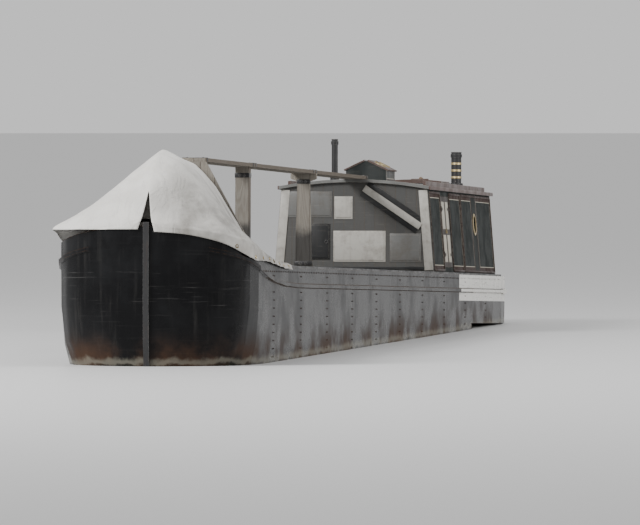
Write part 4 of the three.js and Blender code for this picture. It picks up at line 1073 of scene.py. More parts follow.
def ring_places(radius, count, lift=0.0, start=0.0):
    """Places spaced evenly round a circle about +Z."""
    angles = [2 * math.pi * (number + start) / count for number in range(count)]
    spots = [(radius * math.cos(angle), radius * math.sin(angle), lift) for angle in angles]
    return [Matrix.Translation(spot) for spot in spots]


def screw_ring(shape, radius, count, place, head_radius=0.0045, lift=0.0):
    head = cone(bmesh.new(), head_radius, head_radius * 0.7, 0.003, 10)
    add_all(shape, head, *(place @ spot for spot in ring_places(radius, count, lift)))


def glass_finish():
    web = Finish("old_glass", 4.0, 0.6)
    smeared = web.blotches(14, 5, 0.6, 0.35, 0.75)
    tone = web.layered(GLASS_DARK, (smeared, 0.4, GLASS_SMEAR), (web.drips, 0.25, DUST))
    return web.done(tone, web.summed(0.05, (smeared, 0.16)), web.noise(9, 2), 0.0006, 0.5)


old_glass = glass_finish()
for side_name, side in SIDES:
    rim = bmesh.new()
    place = on_wall(side, PORT_AT, PORT_Z)
    add_all(rim, rim_of(PORT_RADIUS - 0.010, RIM_WIDE, 0.009), place)
    screw_ring(rim, PORT_RADIUS + 0.010, 8, place, lift=0.008)
    new_piece(f"port_rim_{side_name}", rim, brass)
    pane = bmesh.new()
    add_all(pane, glass_disc(PORT_RADIUS - 0.001, 0.006), on_wall(side, PORT_AT, PORT_Z, -0.012))
    new_piece(f"port_glass_{side_name}", pane, old_glass)

# The cabin's front is of upright boards, painted grey and much weathered. Raised panels, a hatch,
# pale corner posts and a slanting pale brace on a dark board are nailed on it. The hatch's near-black
# paint is painted shade, put where the front lies in shadow.
FRONT_AT = 14.300
FRONT_GREY = (0.058, 0.058, 0.056)
FRONT_PALE = (0.40, 0.385, 0.35)
# The near-black colour below is painted shade on the hatch, and dark paint on the brace's backing board and
# the foot board.
FRONT_DARK_AND_SHADE = (0.012, 0.0125, 0.013)
FRONT_MID = (0.125, 0.125, 0.12)
POST_AT = (0.866, 1.81)
POST = (0.052, 0.48, 0.014, 0.0, 0.004)
BRACE_FROM = Vector((0.12, 2.31))
BRACE_TO = Vector((0.80, 1.85))
BRACE_HALF_WIDE = 0.042
BRACE_BOARD_HALF = 0.105
BRACE_NAILS = ((-0.9, -0.3, 0.3, 0.9), (-0.025, 0.025))
HATCH_AT = (-0.475, 1.67)
HATCH = (0.185, 0.215, 0.016)
HATCH_STRAPS = (1.57, 1.77)
HATCH_RING_BESIDE = 0.14
FOOT_BOARD_Z = 1.352
FOOT_BOARD = (0.84, 0.022, 0.016, 0.0, 0.006, 3)
FRONT_PANELS = (("pale", 0.065, 1.615, 0.315, 0.185), ("pale", -0.13, 2.075, 0.11, 0.135),
                ("mid", -0.545, 2.115, 0.275, 0.155), ("mid", 0.62, 1.60, 0.19, 0.17))
FRONT_PAINTS = (("pale", FRONT_PALE, 0.8, 0.42, 0.42), ("mid", FRONT_MID, 0.8, 0.42, 0.45),
                ("dark", FRONT_DARK_AND_SHADE, 0.6, 0.38, 0.0))


def facing(where, outwards, upwards=Vector((0, 0, 1)), turn=0.0):
    """Stands a piece on a wall: its X runs along, its Y up and its Z outwards."""
    across = upwards.cross(outwards).normalized()
    basis = Matrix((across, outwards.cross(across), outwards)).transposed().to_4x4()
    return Matrix.Translation(where) @ basis @ Matrix.Rotation(turn, 4, "Z")


def on_front(y, z, lift=0.0, turn=0.0):
    return facing(Vector((aft(FRONT_AT) + lift, y, z)), Vector((1, 0, 0)), turn=turn)


def raised_panel(shape, place, half_x, half_y, proud=0.013, margin=0.018):
    """A raised and fielded panel: a flat board with a sunk, bevelled border."""
    board(shape, place, half_x, half_y, proud * 0.5, 0.0, 0.002)
    board(shape, place, half_x - margin, half_y - margin, proud, 0.0, proud * 0.45, 3)


def nails(shape, place, spots, radius=0.0035):
    head = cone(bmesh.new(), radius, radius * 0.6, 0.002, 8)
    add_all(shape, head, *(place @ Matrix.Translation(spot) for spot in spots))


front_paint = paint_finish("front_paint", FRONT_GREY, boards=0.125, worn_by=0.9, gloss=0.5)
dress(front_paint, "cabin_front")

front_boards = {"pale": bmesh.new(), "mid": bmesh.new(), "dark": bmesh.new()}
for side in (1, -1):
    post_place = on_front(side * POST_AT[0], POST_AT[1], 0.0, side * WALL_LEAN)
    board(front_boards["pale"], post_place, *POST)
for tone, y, z, half_y, half_z in FRONT_PANELS:
    raised_panel(front_boards[tone], on_front(y, z), half_y, half_z)
# Painted shade: the hatch is near-black where the front lies in shadow.
raised_panel(front_boards["dark"], on_front(*HATCH_AT), *HATCH)
brace_run = BRACE_TO - BRACE_FROM
brace_place = on_front(*(BRACE_FROM + BRACE_TO) / 2, 0.0, math.atan2(brace_run.y, brace_run.x))
brace_half = brace_run.length / 2
board(front_boards["dark"], brace_place, brace_half, BRACE_BOARD_HALF, 0.009)
board(front_boards["pale"], brace_place, brace_half, BRACE_HALF_WIDE, 0.024, 0.008, 0.004)
brace_nails = [(along * brace_half, across, 0.0245)
               for along in BRACE_NAILS[0] for across in BRACE_NAILS[1]]
nails(front_boards["pale"], brace_place, brace_nails)
board(front_boards["dark"], on_front(0, FOOT_BOARD_Z), *FOOT_BOARD)
for tone, colour, worn_by, gloss, stains in FRONT_PAINTS:
    paint = paint_finish(f"front_{tone}_paint", colour, worn_by=worn_by, gloss=gloss, stains=stains)
    new_piece(f"front_{tone}_boards", front_boards[tone], paint)

front_irons = bmesh.new()
for z in HATCH_STRAPS:
    block(front_irons, (-0.20, -0.014, 0.014), (-0.03, 0.014, 0.019), 0.001, 2, on_front(HATCH_AT[0], z))
add_all(front_irons, ring_of(0.018, 0.004), on_front(HATCH_AT[0] + HATCH_RING_BESIDE, HATCH_AT[1], 0.02))
new_piece("front_hatch_irons", front_irons, black_iron)

# Each door leaf is a framed board with two raised panels outside, two ledges inside and a small
# brass ring to pull it by. The leaves swing, so all that is on a leaf rides with it.
DOOR_PAINT = (0.042, 0.034, 0.031)
DOOR_PANEL = (0.42, 0.39, 0.32)
PANEL_PROUD = 0.0032
PULL_RADIUS = 0.016
PULL_IN = 0.135
SIDE_LEAVES = (("fore", 15.466, 1), ("aft", 15.814, -1))
SIDE_LEAF_Z = 1.80
SIDE_LEAF = {"half_x": 0.112, "half_y": 0.165, "thick": 0.032, "level": 0.20}
REAR_AT = 19.800
REAR_LEAF_AT = (0.149, 1.857)
REAR_LEAF = {"half_x": 0.088, "half_y": 0.19, "thick": 0.030, "level": 0.235}

door_paint = paint_finish("door_paint", DOOR_PAINT, worn_by=0.9, gloss=0.36, ior=1.15)
panel_paint = paint_finish("door_panel_paint", DOOR_PANEL, worn_by=0.5, gloss=0.36)


def leaf_fittings(body, place, free_edge, half_x, half_y, thick, level):
    """Panels, ledges and a pull on one leaf; place is its middle on the outer face."""
    dress(door_paint, body)
    panels, ledges, pull = bmesh.new(), bmesh.new(), bmesh.new()
    for up in (level, -level):
        lifted = place @ Matrix.Translation((free_edge * 0.012, up, 0))
        raised_panel(panels, lifted, half_x, half_y, PANEL_PROUD, 0.012)
        block(ledges, (-half_x, up - 0.035, -thick - 0.014), (half_x, up + 0.035, 0.001 - thick), 0.004, 2,
              place)
    new_piece(f"{body}_panels", panels, panel_paint, body)
    new_piece(f"{body}_ledges", ledges, door_paint, body)
    pull_place = place @ Matrix.Translation((free_edge * PULL_IN, 0, 0))
    add_all(pull, ring_of(PULL_RADIUS, 0.0028), pull_place @ Matrix.Translation((0, 0, 0.004)))
    block(pull, (-0.007, -0.012, 0), (0.007, 0.022, 0.004), 0.0015, 2,
          pull_place @ Matrix.Translation((0, PULL_RADIUS, 0)))
    new_piece(f"{body}_pull", pull, brass, body)


def on_rear(y, z):
    return facing(Vector((aft(REAR_AT), y, z)), Vector((-1, 0, 0)))


for side_name, side in SIDES:
    for leaf, middle, free in SIDE_LEAVES:
        leaf_fittings(f"side_door_{side_name}_{leaf}", on_wall(side, middle, SIDE_LEAF_Z), side * free,
                      **SIDE_LEAF)
for side_name, side in SIDES:
    leaf_fittings(f"rear_door_{side_name}", on_rear(side * REAR_LEAF_AT[0], REAR_LEAF_AT[1]), side,
                  **REAR_LEAF)

# The bulkheads inside and aft are boarded and painted, and so are the steps and the lockers. The
# rear one has a plain post and a raised panel on each side of its doors.
INNER_CREAM = (0.20, 0.165, 0.115)
REAR_POST_AT = (0.36, 1.82)
REAR_POST = (0.030, 0.50, 0.014, 0.0, 0.006, 3)
REAR_PANEL_AT = (0.63, 1.80)
REAR_PANEL = (0.155, 0.36, 0.012)

rear_paint = paint_finish("rear_paint", PANEL_DARK, boards=0.14, worn_by=0.8)
inner_paint = paint_finish("inner_paint", INNER_CREAM, boards=0.12, worn_by=0.4, gloss=0.3)
dress(rear_paint, "rear_bulkhead")
dress(inner_paint, "middle_bulkhead", "cabin_steps", "cabin_locker_port", "cabin_locker_starboard")
rear_frame = bmesh.new()
for side in (1, -1):
    board(rear_frame, on_rear(side * REAR_POST_AT[0], REAR_POST_AT[1]), *REAR_POST)
    raised_panel(rear_frame, on_rear(side * REAR_PANEL_AT[0], REAR_PANEL_AT[1]), *REAR_PANEL)
new_piece("rear_mouldings", rear_frame, mould_paint)

# The roof is boarded and covered in painted canvas, dull, dusty and stained, with a wooden edging
# along each side. The handrails and the sliding hatch are painted wood, worn by hands.
ROOF_GREY = (0.115, 0.115, 0.110)
ROOF_STAIN = (0.045, 0.042, 0.038)
ROOF_JOINTS = 0.46
RAIL_PAINT = (0.085, 0.050, 0.042)
ROOF_EDGE = (0.905, 2.297, 2.332)
ROOF_ENDS = (14.25, 19.84)
EDGING = 0.016
SLIDE_GRIP_AT = 19.80
SLIDE_GRIP_Z = 2.502
SLIDE_GRIP_HALF = 0.11
SLIDE_GRIP_FEET = 0.085


def roof_finish():
    web = Finish("roof_paint", 1.3, 0.3, edge=0.010, dusty=0.55)
    weave = web.noise(1.0, 2, stretch=(260, 260, 260))
    joint = web.step(web.math("PINGPONG", web.axes()["X"], ROOF_JOINTS), 0.012, 0.004)
    trodden = web.blotches(2.4, 6, 0.62, 0.42, 0.66)
    paler = tuple(1.35 * channel for channel in ROOF_GREY)
    tone = web.layered(
        web.mix(web.patches, ROOF_GREY, paler), (trodden, 0.55, ROOF_STAIN), (web.specks, 0.4, ROOF_STAIN),
        (joint, 0.35, ROOF_STAIN), (web.edge, 0.5, PRIMER), (web.dust, 1, DUST))
    height = web.summed(web.times(joint, 1.6), (weave, 0.25), (web.brushed, 0.5))
    return web.done(tone, web.summed(0.72, (trodden, -0.12)), height, 0.0015, 0.8)


roof_paint = roof_finish()
rail_paint = paint_finish("rail_paint", RAIL_PAINT, worn_by=1.0, gloss=0.32)
slide_paint = paint_finish("slide_paint", RAIL_PAINT, boards=0.12, turn=ALONG_X, worn_by=0.9)
box_paint = paint_finish("pigeon_box_paint", PANEL_DARK, [(aft(15.6), 2.49, 0.335, 0.07)], wide=0.022,
                         worn_by=0.8)
lid_paint = paint_finish("pigeon_lid_paint", RAIL_PAINT, worn_by=0.9)
dress(roof_paint, "cabin_roof")
dress(rail_paint, "handrail_port", "handrail_starboard")
dress(slide_paint, "slide_hatch")
dress(box_paint, "pigeon_box")
dress(lid_paint, "pigeon_lid_port", "pigeon_lid_starboard")

edging = bmesh.new()
for side in (1, -1):
    ends = sorted((side * (ROOF_EDGE[0] - 0.004), side * (ROOF_EDGE[0] + EDGING)))
    block(edging, (aft(ROOF_ENDS[1]), ends[0], ROOF_EDGE[1] - 0.006),
          (aft(ROOF_ENDS[0]), ends[1], ROOF_EDGE[2] + 0.004), 0.007, 3)
new_piece("roof_edging", edging, rail_paint)

grip = bmesh.new()
grip_place = Matrix.Translation((aft(SLIDE_GRIP_AT), 0, SLIDE_GRIP_Z))
board(grip, grip_place, 0.015, SLIDE_GRIP_HALF, 0.010, -0.010, 0.007, 3)
for y in (-SLIDE_GRIP_FEET, SLIDE_GRIP_FEET):
    board(grip, grip_place @ Matrix.Translation((0, y, 0)), 0.013, 0.014, -0.004, -0.024)
new_piece("slide_grip", grip, rail_paint, "slide_hatch")

# The skylight over the engine, called a pigeon box, has two round panes in each lid, rimmed in
# brass, with three brass bars over each pane, and hinges along its ridge.
LID_SLOPE = math.atan(0.110 / 0.231)
LID_RIDGE = (0.014, 2.650)
LID_THICK = 0.018
LID_MIDDLE = 15.6
LID_PANE = 0.058
PANE_APART = 0.175
PANE_DOWN = 0.135
HINGE_APART = 0.28
BARS_ACROSS = (-0.028, 0, 0.028)
BAR_RADIUS = 0.0032


def on_lid(side, behind, down, lift=0.0):
    """Stands a piece on a lid of the skylight: its Y runs up to the ridge."""
    outwards = Vector((0, side * math.sin(LID_SLOPE), math.cos(LID_SLOPE)))
    upwards = Vector((0, -side * math.cos(LID_SLOPE), math.sin(LID_SLOPE)))
    ridge = Vector((aft(behind), side * LID_RIDGE[0], LID_RIDGE[1]))
    return facing(ridge - upwards * down + outwards * (LID_THICK + lift), outwards, upwards)


for side_name, side in SIDES:
    body = f"pigeon_lid_{side_name}"
    rims, panes, hinges = bmesh.new(), bmesh.new(), bmesh.new()
    for way in (-1, 1):
        place = on_lid(side, LID_MIDDLE + way * PANE_APART, PANE_DOWN)
        add_all(rims, rim_of(LID_PANE - 0.004, 0.020, 0.008, 28), place)
        add_all(panes, glass_disc(LID_PANE, 0.005, 28), place @ Matrix.Translation((0, 0, 0.003)))
        screw_ring(rims, LID_PANE + 0.010, 6, place, 0.003, 0.0075)
        add_all(rims, cone(bmesh.new(), BAR_RADIUS, BAR_RADIUS, 2 * LID_PANE + 0.024, 8),
                *(place @ Matrix.Translation((across, 0, 0.0115)) @ LYING for across in BARS_ACROSS))
    new_piece(f"{body}_rims", rims, brass, body)
    new_piece(f"{body}_panes", panes, old_glass, body)
    for way in (-1, 1):
        place = on_lid(side, LID_MIDDLE + way * HINGE_APART, 0.0)
        block(hinges, (-0.016, -0.075, 0), (0.016, -0.002, 0.003), 0.001, 2, place)
        nails(hinges, place, [(0, down, 0.0035) for down in (-0.03, -0.055)])
    new_piece(f"{body}_hinges", hinges, black_iron, body)

# The range's chimney is a black iron pipe with three bright brass hoops, and the exhaust stack a
# slimmer one. Both have a bolted foot and an open, sooty mouth.
SOOT = (0.004, 0.004, 0.004)
SOOT_PALE = (0.016, 0.015, 0.014)
CHIMNEY_AT = (18.80, 0.600)
PIPES = (("chimney", *CHIMNEY_AT, 0.064, 2.820, 2.40), ("exhaust_stack", 14.90, -0.330, 0.038, 2.900, 2.41))
HOOP_LEVELS = (2.50, 2.585, 2.67)


def soot_finish():
    web = Finish("soot")
    caked = web.noise(38, 5, 0.7)
    return web.done(web.mix(caked, SOOT, SOOT_PALE), web.summed(0.88, (caked, 0.1)), caked, 0.003)


def upright_at(behind, y, z):
    return Matrix.Translation((aft(behind), y, z))


soot = soot_finish()
for name, behind, y, radius, top, foot in PIPES:
    mouth, dark = bmesh.new(), bmesh.new()
    add_all(mouth, rim_of(radius - 0.007, 0.011, 0.010, 32), upright_at(behind, y, top - 0.002))
    flange = upright_at(behind, y, foot + 0.062)
    bolt_places = ring_places(0.68 * (radius + 0.017), 6)
    add_all(mouth, bolt_head(0.008, 0.007), *(flange @ spot for spot in bolt_places))
    new_piece(f"{name}_mouth", mouth, black_iron)
    add_all(dark, glass_disc(radius - 0.006, 0.002, 32), upright_at(behind, y, top + 0.001))
    new_piece(f"{name}_soot", dark, soot)

hoops = bmesh.new()
add_all(hoops, rim_of(0.063, 0.005, 0.026, 36), *(upright_at(*CHIMNEY_AT, z) for z in HOOP_LEVELS))
new_piece("chimney_hoops", hoops, brass)

# The propeller is cast bronze, dulled brown by the water. The rudder blade is stiffened by straps
# bolted through it, and the tiller ends in a turned wooden grip with two brass ferrules.
BRONZE = (0.40, 0.27, 0.14)
BRONZE_BROWN = (0.085, 0.055, 0.032)
BLADE_HALF = 0.010
BLADE_STRAPS = (0.19, 0.37, 0.55)
BLADE_STRAP_HALF = 0.028
BLADE_STRAP_THICK = 0.008
BLADE_STRAP_END = 21.40
STRAP_BOLTS_AT = (21.06, 21.20, 21.34)
STOCK_AT = 21.000
STOCK_TOP = 1.4003
CLAMP_RADIUS = 0.038
CLAMP = ((0.0, 0.0), (CLAMP_RADIUS - 0.003, 0.0), (CLAMP_RADIUS, 0.004), (CLAMP_RADIUS, 0.112),
         (CLAMP_RADIUS - 0.004, 0.119), (0.0, 0.119))
CLAMP_BOLTS = (0.03, 0.09)
TILLER_ROUTE = ((0.0, STOCK_TOP), (0.0, 1.60), (0.0, 1.80), (-0.03, 2.13), (0.12, 2.33), (0.42, 2.42),
                (1.13, 2.51))
TILLER_RADIUS = 0.022
TILLER_END = (19.867, 2.510)
TILLER_RISE = math.atan(0.090 / 0.710)
GRIP_LENGTH = 0.30
FERRULES_BACK = (0.012, 0.044)
GRIP_PALE = (0.30, 0.20, 0.115)
GRIP_GREY = (0.16, 0.105, 0.06)
GRIP_PROFILE = ((0.0, -0.002), (0.024, 0.0), (0.027, 0.02), (0.024, 0.05), (0.0265, 0.11), (0.0285, 0.18),
                (0.0255, 0.25), (0.0275, 0.285), (0.020, 0.300), (0.0, 0.304))

bronze = metal_finish("cast_bronze", BRONZE, BRONZE_BROWN, rough=0.34, dull=0.8)
smooth_copy("propeller", bronze, body="propeller", angle=ROUND_SMOOTH)

rudder_straps = bmesh.new()
for z in BLADE_STRAPS:
    for side in (1, -1):
        face = side * (BLADE_HALF + BLADE_STRAP_THICK)
        ends = sorted((side * BLADE_HALF, face))
        block(rudder_straps, (aft(BLADE_STRAP_END), ends[0], z - BLADE_STRAP_HALF),
              (aft(STOCK_AT - 0.02), ends[1], z + BLADE_STRAP_HALF), 0.002)
        bolts(rudder_straps, bolt_head(0.010, 0.007), Vector((0, side, 0)),
              [Vector((aft(behind), face, z)) for behind in STRAP_BOLTS_AT])
new_piece("rudder_straps", rudder_straps, black_iron, "rudder")


def add_turned(shape, profile, place, around=32):
    """Adds a piece turned on a lathe about +Z, from pairs of radius and place along."""
    part = bmesh.new()
    verts = [part.verts.new((radius, 0, along)) for radius, along in profile]
    edges = [part.edges.new(pair) for pair in zip(verts, verts[1:])]
    add_all(shape, spun(part, edges, around, weld=True), place)


def pipe_run(shape, points, radius, through=False):
    """A rigid bar or pipe along points given as aft, y and z; its bends round them or pass through."""
    data = bpy.data.curves.new("pipe", "CURVE")
    data.dimensions = "3D"
    data.bevel_depth = radius
    data.bevel_resolution = 4 if through else 3
    data.use_fill_caps = True
    spline = data.splines.new("BEZIER" if through else "NURBS")
    places = spline.bezier_points if through else spline.points
    places.add(len(points) - 1)
    for place, (behind, y, z) in zip(places, points):
        place.co = (aft(behind), y, z) if through else (aft(behind), y, z, 1)
        if through:
            place.handle_left_type = "AUTO"
            place.handle_right_type = "AUTO"
    if not through:
        spline.use_endpoint_u = True
        spline.order_u = 3
    working = linked("pipe", data)
    made = bpy.data.meshes.new_from_object(working.evaluated_get(bpy.context.evaluated_depsgraph_get()))
    shape.from_mesh(made)
    bpy.data.objects.remove(working)
    bpy.data.curves.remove(data)
    bpy.data.meshes.remove(made)


tiller = bmesh.new()
pipe_run(tiller, [(STOCK_AT - ahead, 0, z) for ahead, z in TILLER_ROUTE], TILLER_RADIUS, through=True)
add_turned(tiller, CLAMP, upright_at(STOCK_AT, 0, STOCK_TOP))
for side in (1, -1):
    bolts(tiller, bolt_head(0.010, 0.010), Vector((0, side, 0)),
          [Vector((aft(STOCK_AT), side * CLAMP_RADIUS, STOCK_TOP + up)) for up in CLAMP_BOLTS])
tiller_piece = new_piece("tiller_bar", tiller, black_iron, "rudder")
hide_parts("tiller")

grip_wood = timber_finish("grip_wood", ALONG_X, 0.5, 0.1, GRIP_PALE, GRIP_GREY, dirty=0.3)
grip_way = Vector((math.cos(TILLER_RISE), 0, math.sin(TILLER_RISE)))
grip_root = Vector((aft(TILLER_END[0]), 0, TILLER_END[1])) - grip_way * (GRIP_LENGTH - 0.004)


def on_grip(back):
    return facing(grip_root - grip_way * back, grip_way, Vector((0, 1, 0)))


tiller_grip, ferrules = bmesh.new(), bmesh.new()
add_turned(tiller_grip, GRIP_PROFILE, on_grip(0), 24)
new_piece("tiller_grip", tiller_grip, grip_wood, "rudder")
add_all(ferrules, rim_of(0.022, 0.006, 0.022, 24), *(on_grip(back) for back in FERRULES_BACK))
new_piece("tiller_ferrule", ferrules, brass, "rudder")

# The stern fender is worked by hand in rope: turns of three-strand line laid side by side round a
# plump core, drawn smaller at each end.
FENDER_AT = 21.5232
FENDER_Z = 1.100
FENDER_RADIUS = 0.1568
FENDER_HALF = 0.33
FENDER_TURNS = 23
ROPE_THICK = 0.0145
ROPE_PALE = (0.33, 0.27, 0.185)
ROPE_DARK = (0.085, 0.065, 0.042)
STRANDS = 3
CORE_PROFILE = ((0.0, -0.315), (0.05, -0.31), (0.10, -0.27), (0.125, -0.2), (0.13, 0), (0.125, 0.2),
                (0.10, 0.27), (0.05, 0.31), (0.0, 0.315))


def rope_finish():
    web = Finish("tarred_rope", 5.0, 0.5)
    fibres = web.noise(1.0, 4, 0.7, stretch=(160, 700, 160))
    tone = web.layered(web.mix(fibres, ROPE_DARK, ROPE_PALE), (web.patches, 0.55, ROPE_DARK),
                       (web.specks, 0.3, DUST))
    return web.done(tone, web.summed(0.82, (fibres, 0.1)), fibres, 0.0015)


def laid_turn(radius, thick, twist):
    """One turn of three-strand rope about +Z, its strands standing out as they wind round it."""
    turn = ring_of(radius, thick, around=60, section=12)
    for vert in turn.verts:
        angle = math.atan2(vert.co.y, vert.co.x)
        centre = Vector((math.cos(angle), math.sin(angle), 0)) * radius
        out = vert.co - centre
        round_it = math.atan2(out.z, out.dot(centre.normalized()))
        lay = math.cos(STRANDS * round_it + twist * angle)
        vert.co = centre + out * (1 + 0.13 * lay)
    return turn


tarred_rope = rope_finish()
roll = bmesh.new()
for number in range(FENDER_TURNS):
    along = 2 * (number + 0.5) / FENDER_TURNS - 1
    full = math.sqrt(max(0.0, 1 - abs(along) ** 5))
    radius = (FENDER_RADIUS - ROPE_THICK) * (0.30 + 0.70 * full) - 0.004 * (number % 2)
    twist = round(2 * math.pi * radius / (ROPE_THICK * 4.2)) * STRANDS
    place = upright_at(FENDER_AT, along * (FENDER_HALF - ROPE_THICK), FENDER_Z) @ LYING
    add_all(roll, laid_turn(radius, ROPE_THICK, twist), place)
add_turned(roll, CORE_PROFILE, upright_at(FENDER_AT, 0, FENDER_Z) @ LYING, 28)
stern_roll = new_piece("stern_fender_rope", roll, tarred_rope, smooth=1.2)
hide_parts("stern_fender")

# The engine is a slow two-cylinder diesel of cast iron on two steel bearers, with a heavy flywheel
# before it and a gearbox behind. Its enamel is oily and dark, with copper pipes and brass caps.
ENAMEL = (0.060, 0.076, 0.068)
OIL = (0.012, 0.010, 0.008)
COPPER = (0.50, 0.26, 0.16)
COPPER_BROWN = (0.11, 0.062, 0.04)
SHAFT_HIGH = 0.50
CYLINDERS = (15.58, 16.00)
CYLINDER_RIBS = 7
CYLINDER_Z = 0.655
HEAD_BOLTS = (0.126, 1.038)
COVER_AT = (0.213, 0.46)
CASTINGS = ((14.96, 16.54, 0.19, 0.27, 0.161, 0.27, 0.006, 2),
            (14.96, 16.54, -0.27, -0.19, 0.161, 0.27, 0.006, 2),
            (15.32, 16.28, -0.215, 0.215, 0.25, 0.66, 0.045, 4),
            (15.30, 16.30, -0.25, 0.25, 0.255, 0.30, 0.008, 2))
FUEL_PUMP = (15.40, 16.22, 0.205, 0.275, 0.55, 0.62, 0.012, 3)
FLYWHEEL_AT = 15.17
FLYWHEEL = ((0.0, -0.075), (0.06, -0.07), (0.07, -0.022), (0.24, -0.018), (0.24, -0.05),
            (0.25, -0.06), (0.305, -0.06), (0.310, -0.05), (0.310, 0.05), (0.305, 0.06), (0.25, 0.06),
            (0.24, 0.05), (0.24, 0.018), (0.07, 0.022), (0.06, 0.07), (0.0, 0.075))
GEARBOX = ((0.0, 0.0), (0.19, 0.0), (0.19, 0.03), (0.165, 0.045), (0.150, 0.15), (0.105, 0.20),
           (0.085, 0.205), (0.085, 0.24), (0.045, 0.245), (0.045, 0.27), (0.0, 0.27))
HAND_COVER = ((0.0, 0.0), (0.085, 0.0), (0.088, 0.012), (0.070, 0.020), (0.030, 0.024), (0.0, 0.024))
VALVE_CAP = ((0.0, 0.0), (0.024, 0.0), (0.024, 0.03), (0.016, 0.04), (0.016, 0.055), (0.0, 0.06))
EXHAUST_ROUTE = ((16.05, -0.13, 0.93), (16.03, -0.24, 0.94), (15.90, -0.26, 0.95), (15.30, -0.27, 0.97),
                 (15.02, -0.28, 1.00), (14.90, -0.31, 1.08), (14.90, -0.33, 1.30), (14.90, -0.33, 2.36))


def enamel_finish():
    web = Finish("oily_enamel", 3.4, 0.9, edge=0.006, dusty=0.25)
    tone = web.layered(ENAMEL, (web.patches, 0.6, OIL), (web.drips, 0.75, OIL), (web.edge, 0.55, BARE_IRON),
                       (web.dust, 1, DUST))
    height = web.summed(web.brushed, (web.noise(210, 3, 0.7), 0.5))
    return web.done(tone, web.summed(0.42, (web.patches, -0.14)), height, 0.0008)


def along_x(behind, y, z):
    """Stands a turned piece with its +Z pointing aft."""
    return facing(Vector((aft(behind), y, z)), Vector((-1, 0, 0)))


def casting(fore, rear, low_y, high_y, low_z, high_z, round_by, segments):
    """A rounded block of the engine between two places aft of the stem."""
    block(engine, (aft(rear), low_y, low_z), (aft(fore), high_y, high_z), round_by, segments)


enamel = enamel_finish()
engine = bmesh.new()
for sizes in CASTINGS:
    casting(*sizes)
for behind in CYLINDERS:
    ribs = [(0.0, 0.0), (0.135, 0.0), (0.135, 0.03)]
    for number in range(CYLINDER_RIBS):
        z = 0.045 + number * 0.036
        ribs += [(0.112, z), (0.112, z + 0.012), (0.140, z + 0.016), (0.140, z + 0.030)]
    ribs += [(0.115, 0.31), (0.150, 0.32), (0.150, 0.375), (0.142, 0.385), (0.0, 0.385)]
    add_turned(engine, ribs, upright_at(behind, 0, CYLINDER_Z), 40)
    casting(behind - 0.11, behind + 0.11, -0.085, 0.085, 1.03, 1.13, 0.022, 3)
    head_place = upright_at(behind, 0, HEAD_BOLTS[1])
    head_spots = ring_places(HEAD_BOLTS[0], 6, start=0.5)
    add_all(engine, bolt_head(0.013, 0.020), *(head_place @ spot for spot in head_spots))
    for side in (1, -1):
        place = facing(Vector((aft(behind), side * COVER_AT[0], COVER_AT[1])), Vector((0, side, 0)))
        add_turned(engine, HAND_COVER, place, 28)
        screw_ring(engine, 0.076, 8, place, 0.006, 0.016)
add_turned(engine, FLYWHEEL, along_x(FLYWHEEL_AT, 0, SHAFT_HIGH), 48)
add_turned(engine, GEARBOX, along_x(16.27, 0, 0.43), 36)
casting(*FUEL_PUMP)
engine_piece = new_piece("engine", engine, enamel)
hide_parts("engine_block")

copper = metal_finish("copper_pipe", COPPER, COPPER_BROWN, rough=0.26, dull=0.7)
pipes, caps, manifold = bmesh.new(), bmesh.new(), bmesh.new()
for behind in CYLINDERS:
    pipe_run(pipes, [(behind, 0.24, 0.60), (behind, 0.27, 0.75), (behind + 0.03, 0.24, 0.95),
                     (behind, 0.14, 1.02)], 0.006)
    pipe_run(pipes, [(behind - 0.05, 0.24, 0.60), (behind - 0.06, 0.29, 0.72),
                     (behind - 0.05, 0.20, 0.90)], 0.004)
    add_turned(caps, VALVE_CAP, upright_at(behind, 0.0, 1.128), 20)
pipe_run(manifold, EXHAUST_ROUTE, 0.034)
pipe_run(manifold, [(15.58, -0.13, 0.93), (15.58, -0.22, 0.94), (15.58, -0.27, 0.96)], 0.030)
new_piece("engine_pipes", pipes, copper)
new_piece("engine_caps", caps, brass)
new_piece("engine_exhaust", manifold, black_iron)

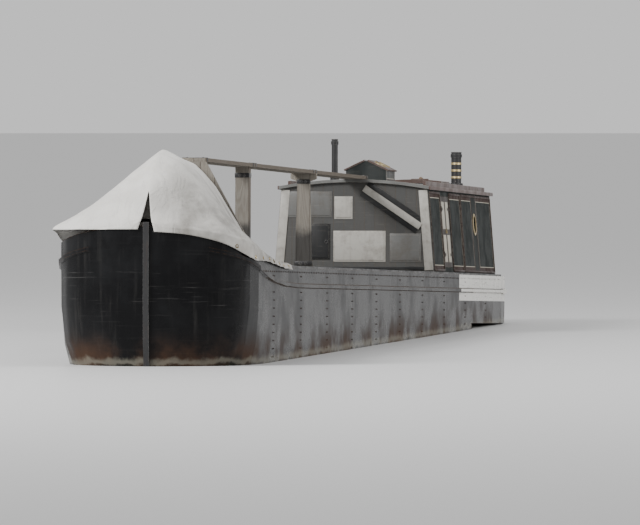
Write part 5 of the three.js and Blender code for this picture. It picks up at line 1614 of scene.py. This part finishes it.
# The cabin's range is black-leaded iron with doors to its oven, fire and ashes, and a bright brass
# rail. The lockers along both sides and the step have small raised panels.
RANGE_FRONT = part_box("range")[0].y
RANGE_DOORS = ((18.68, 0.80, 1.15), (18.92, 0.93, 1.15), (18.92, 0.76, 0.88))
RANGE_DOOR_HALF = 0.10
RAIL_Z = 1.225
RAIL_ROUTE = ((18.56, 0.01), (18.56, -0.035), (18.58, -0.05), (19.02, -0.05), (19.04, -0.035), (19.04, 0.01))
LOCKER_PAINT = (0.33, 0.29, 0.21)
LOCKER_PANEL = 0.48

range_doors, rail, treads = bmesh.new(), bmesh.new(), bmesh.new()
for behind, low, high in RANGE_DOORS:
    place = facing(Vector((aft(behind), RANGE_FRONT, (low + high) / 2)), Vector((0, -1, 0)))
    raised_panel(range_doors, place, RANGE_DOOR_HALF, (high - low) / 2, 0.016, 0.014)
    knob_place = place @ Matrix.Translation((RANGE_DOOR_HALF * 0.7, 0, 0))
    board(range_doors, knob_place, 0.008, 0.03, 0.026, 0.014)
new_piece("range_doors", range_doors, black_iron)
pipe_run(rail, [(behind, RANGE_FRONT + out, RAIL_Z) for behind, out in RAIL_ROUTE], 0.007)
new_piece("range_rail", rail, brass)

locker_paint = paint_finish("locker_panel_paint", LOCKER_PAINT, worn_by=0.5)
for side_name, side in SIDES:
    low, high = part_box(f"cabin_locker_{side_name}")
    panels = bmesh.new()
    count = round((high.x - low.x) / LOCKER_PANEL)
    step = (high.x - low.x) / count
    for number in range(count):
        where = Vector((low.x + (number + 0.5) * step, side * 0.30, (low.z + high.z) / 2))
        raised_panel(panels, facing(where, Vector((0, -side, 0))), step / 2 - 0.035, 0.145, 0.010)
    new_piece(f"locker_panels_{side_name}", panels, locker_paint)
low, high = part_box("cabin_steps")
block(treads, (low.x, -0.272, high.z), (high.x + 0.012, 0.272, high.z + 0.022), 0.006, 3)
raised_panel(treads, facing(Vector((high.x, 0, 0.86)), Vector((1, 0, 0))), 0.22, 0.11, 0.010)
new_piece("step_tread", treads, locker_paint)

# The bounds of everything shown in the scene, apart from the floor.
low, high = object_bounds()
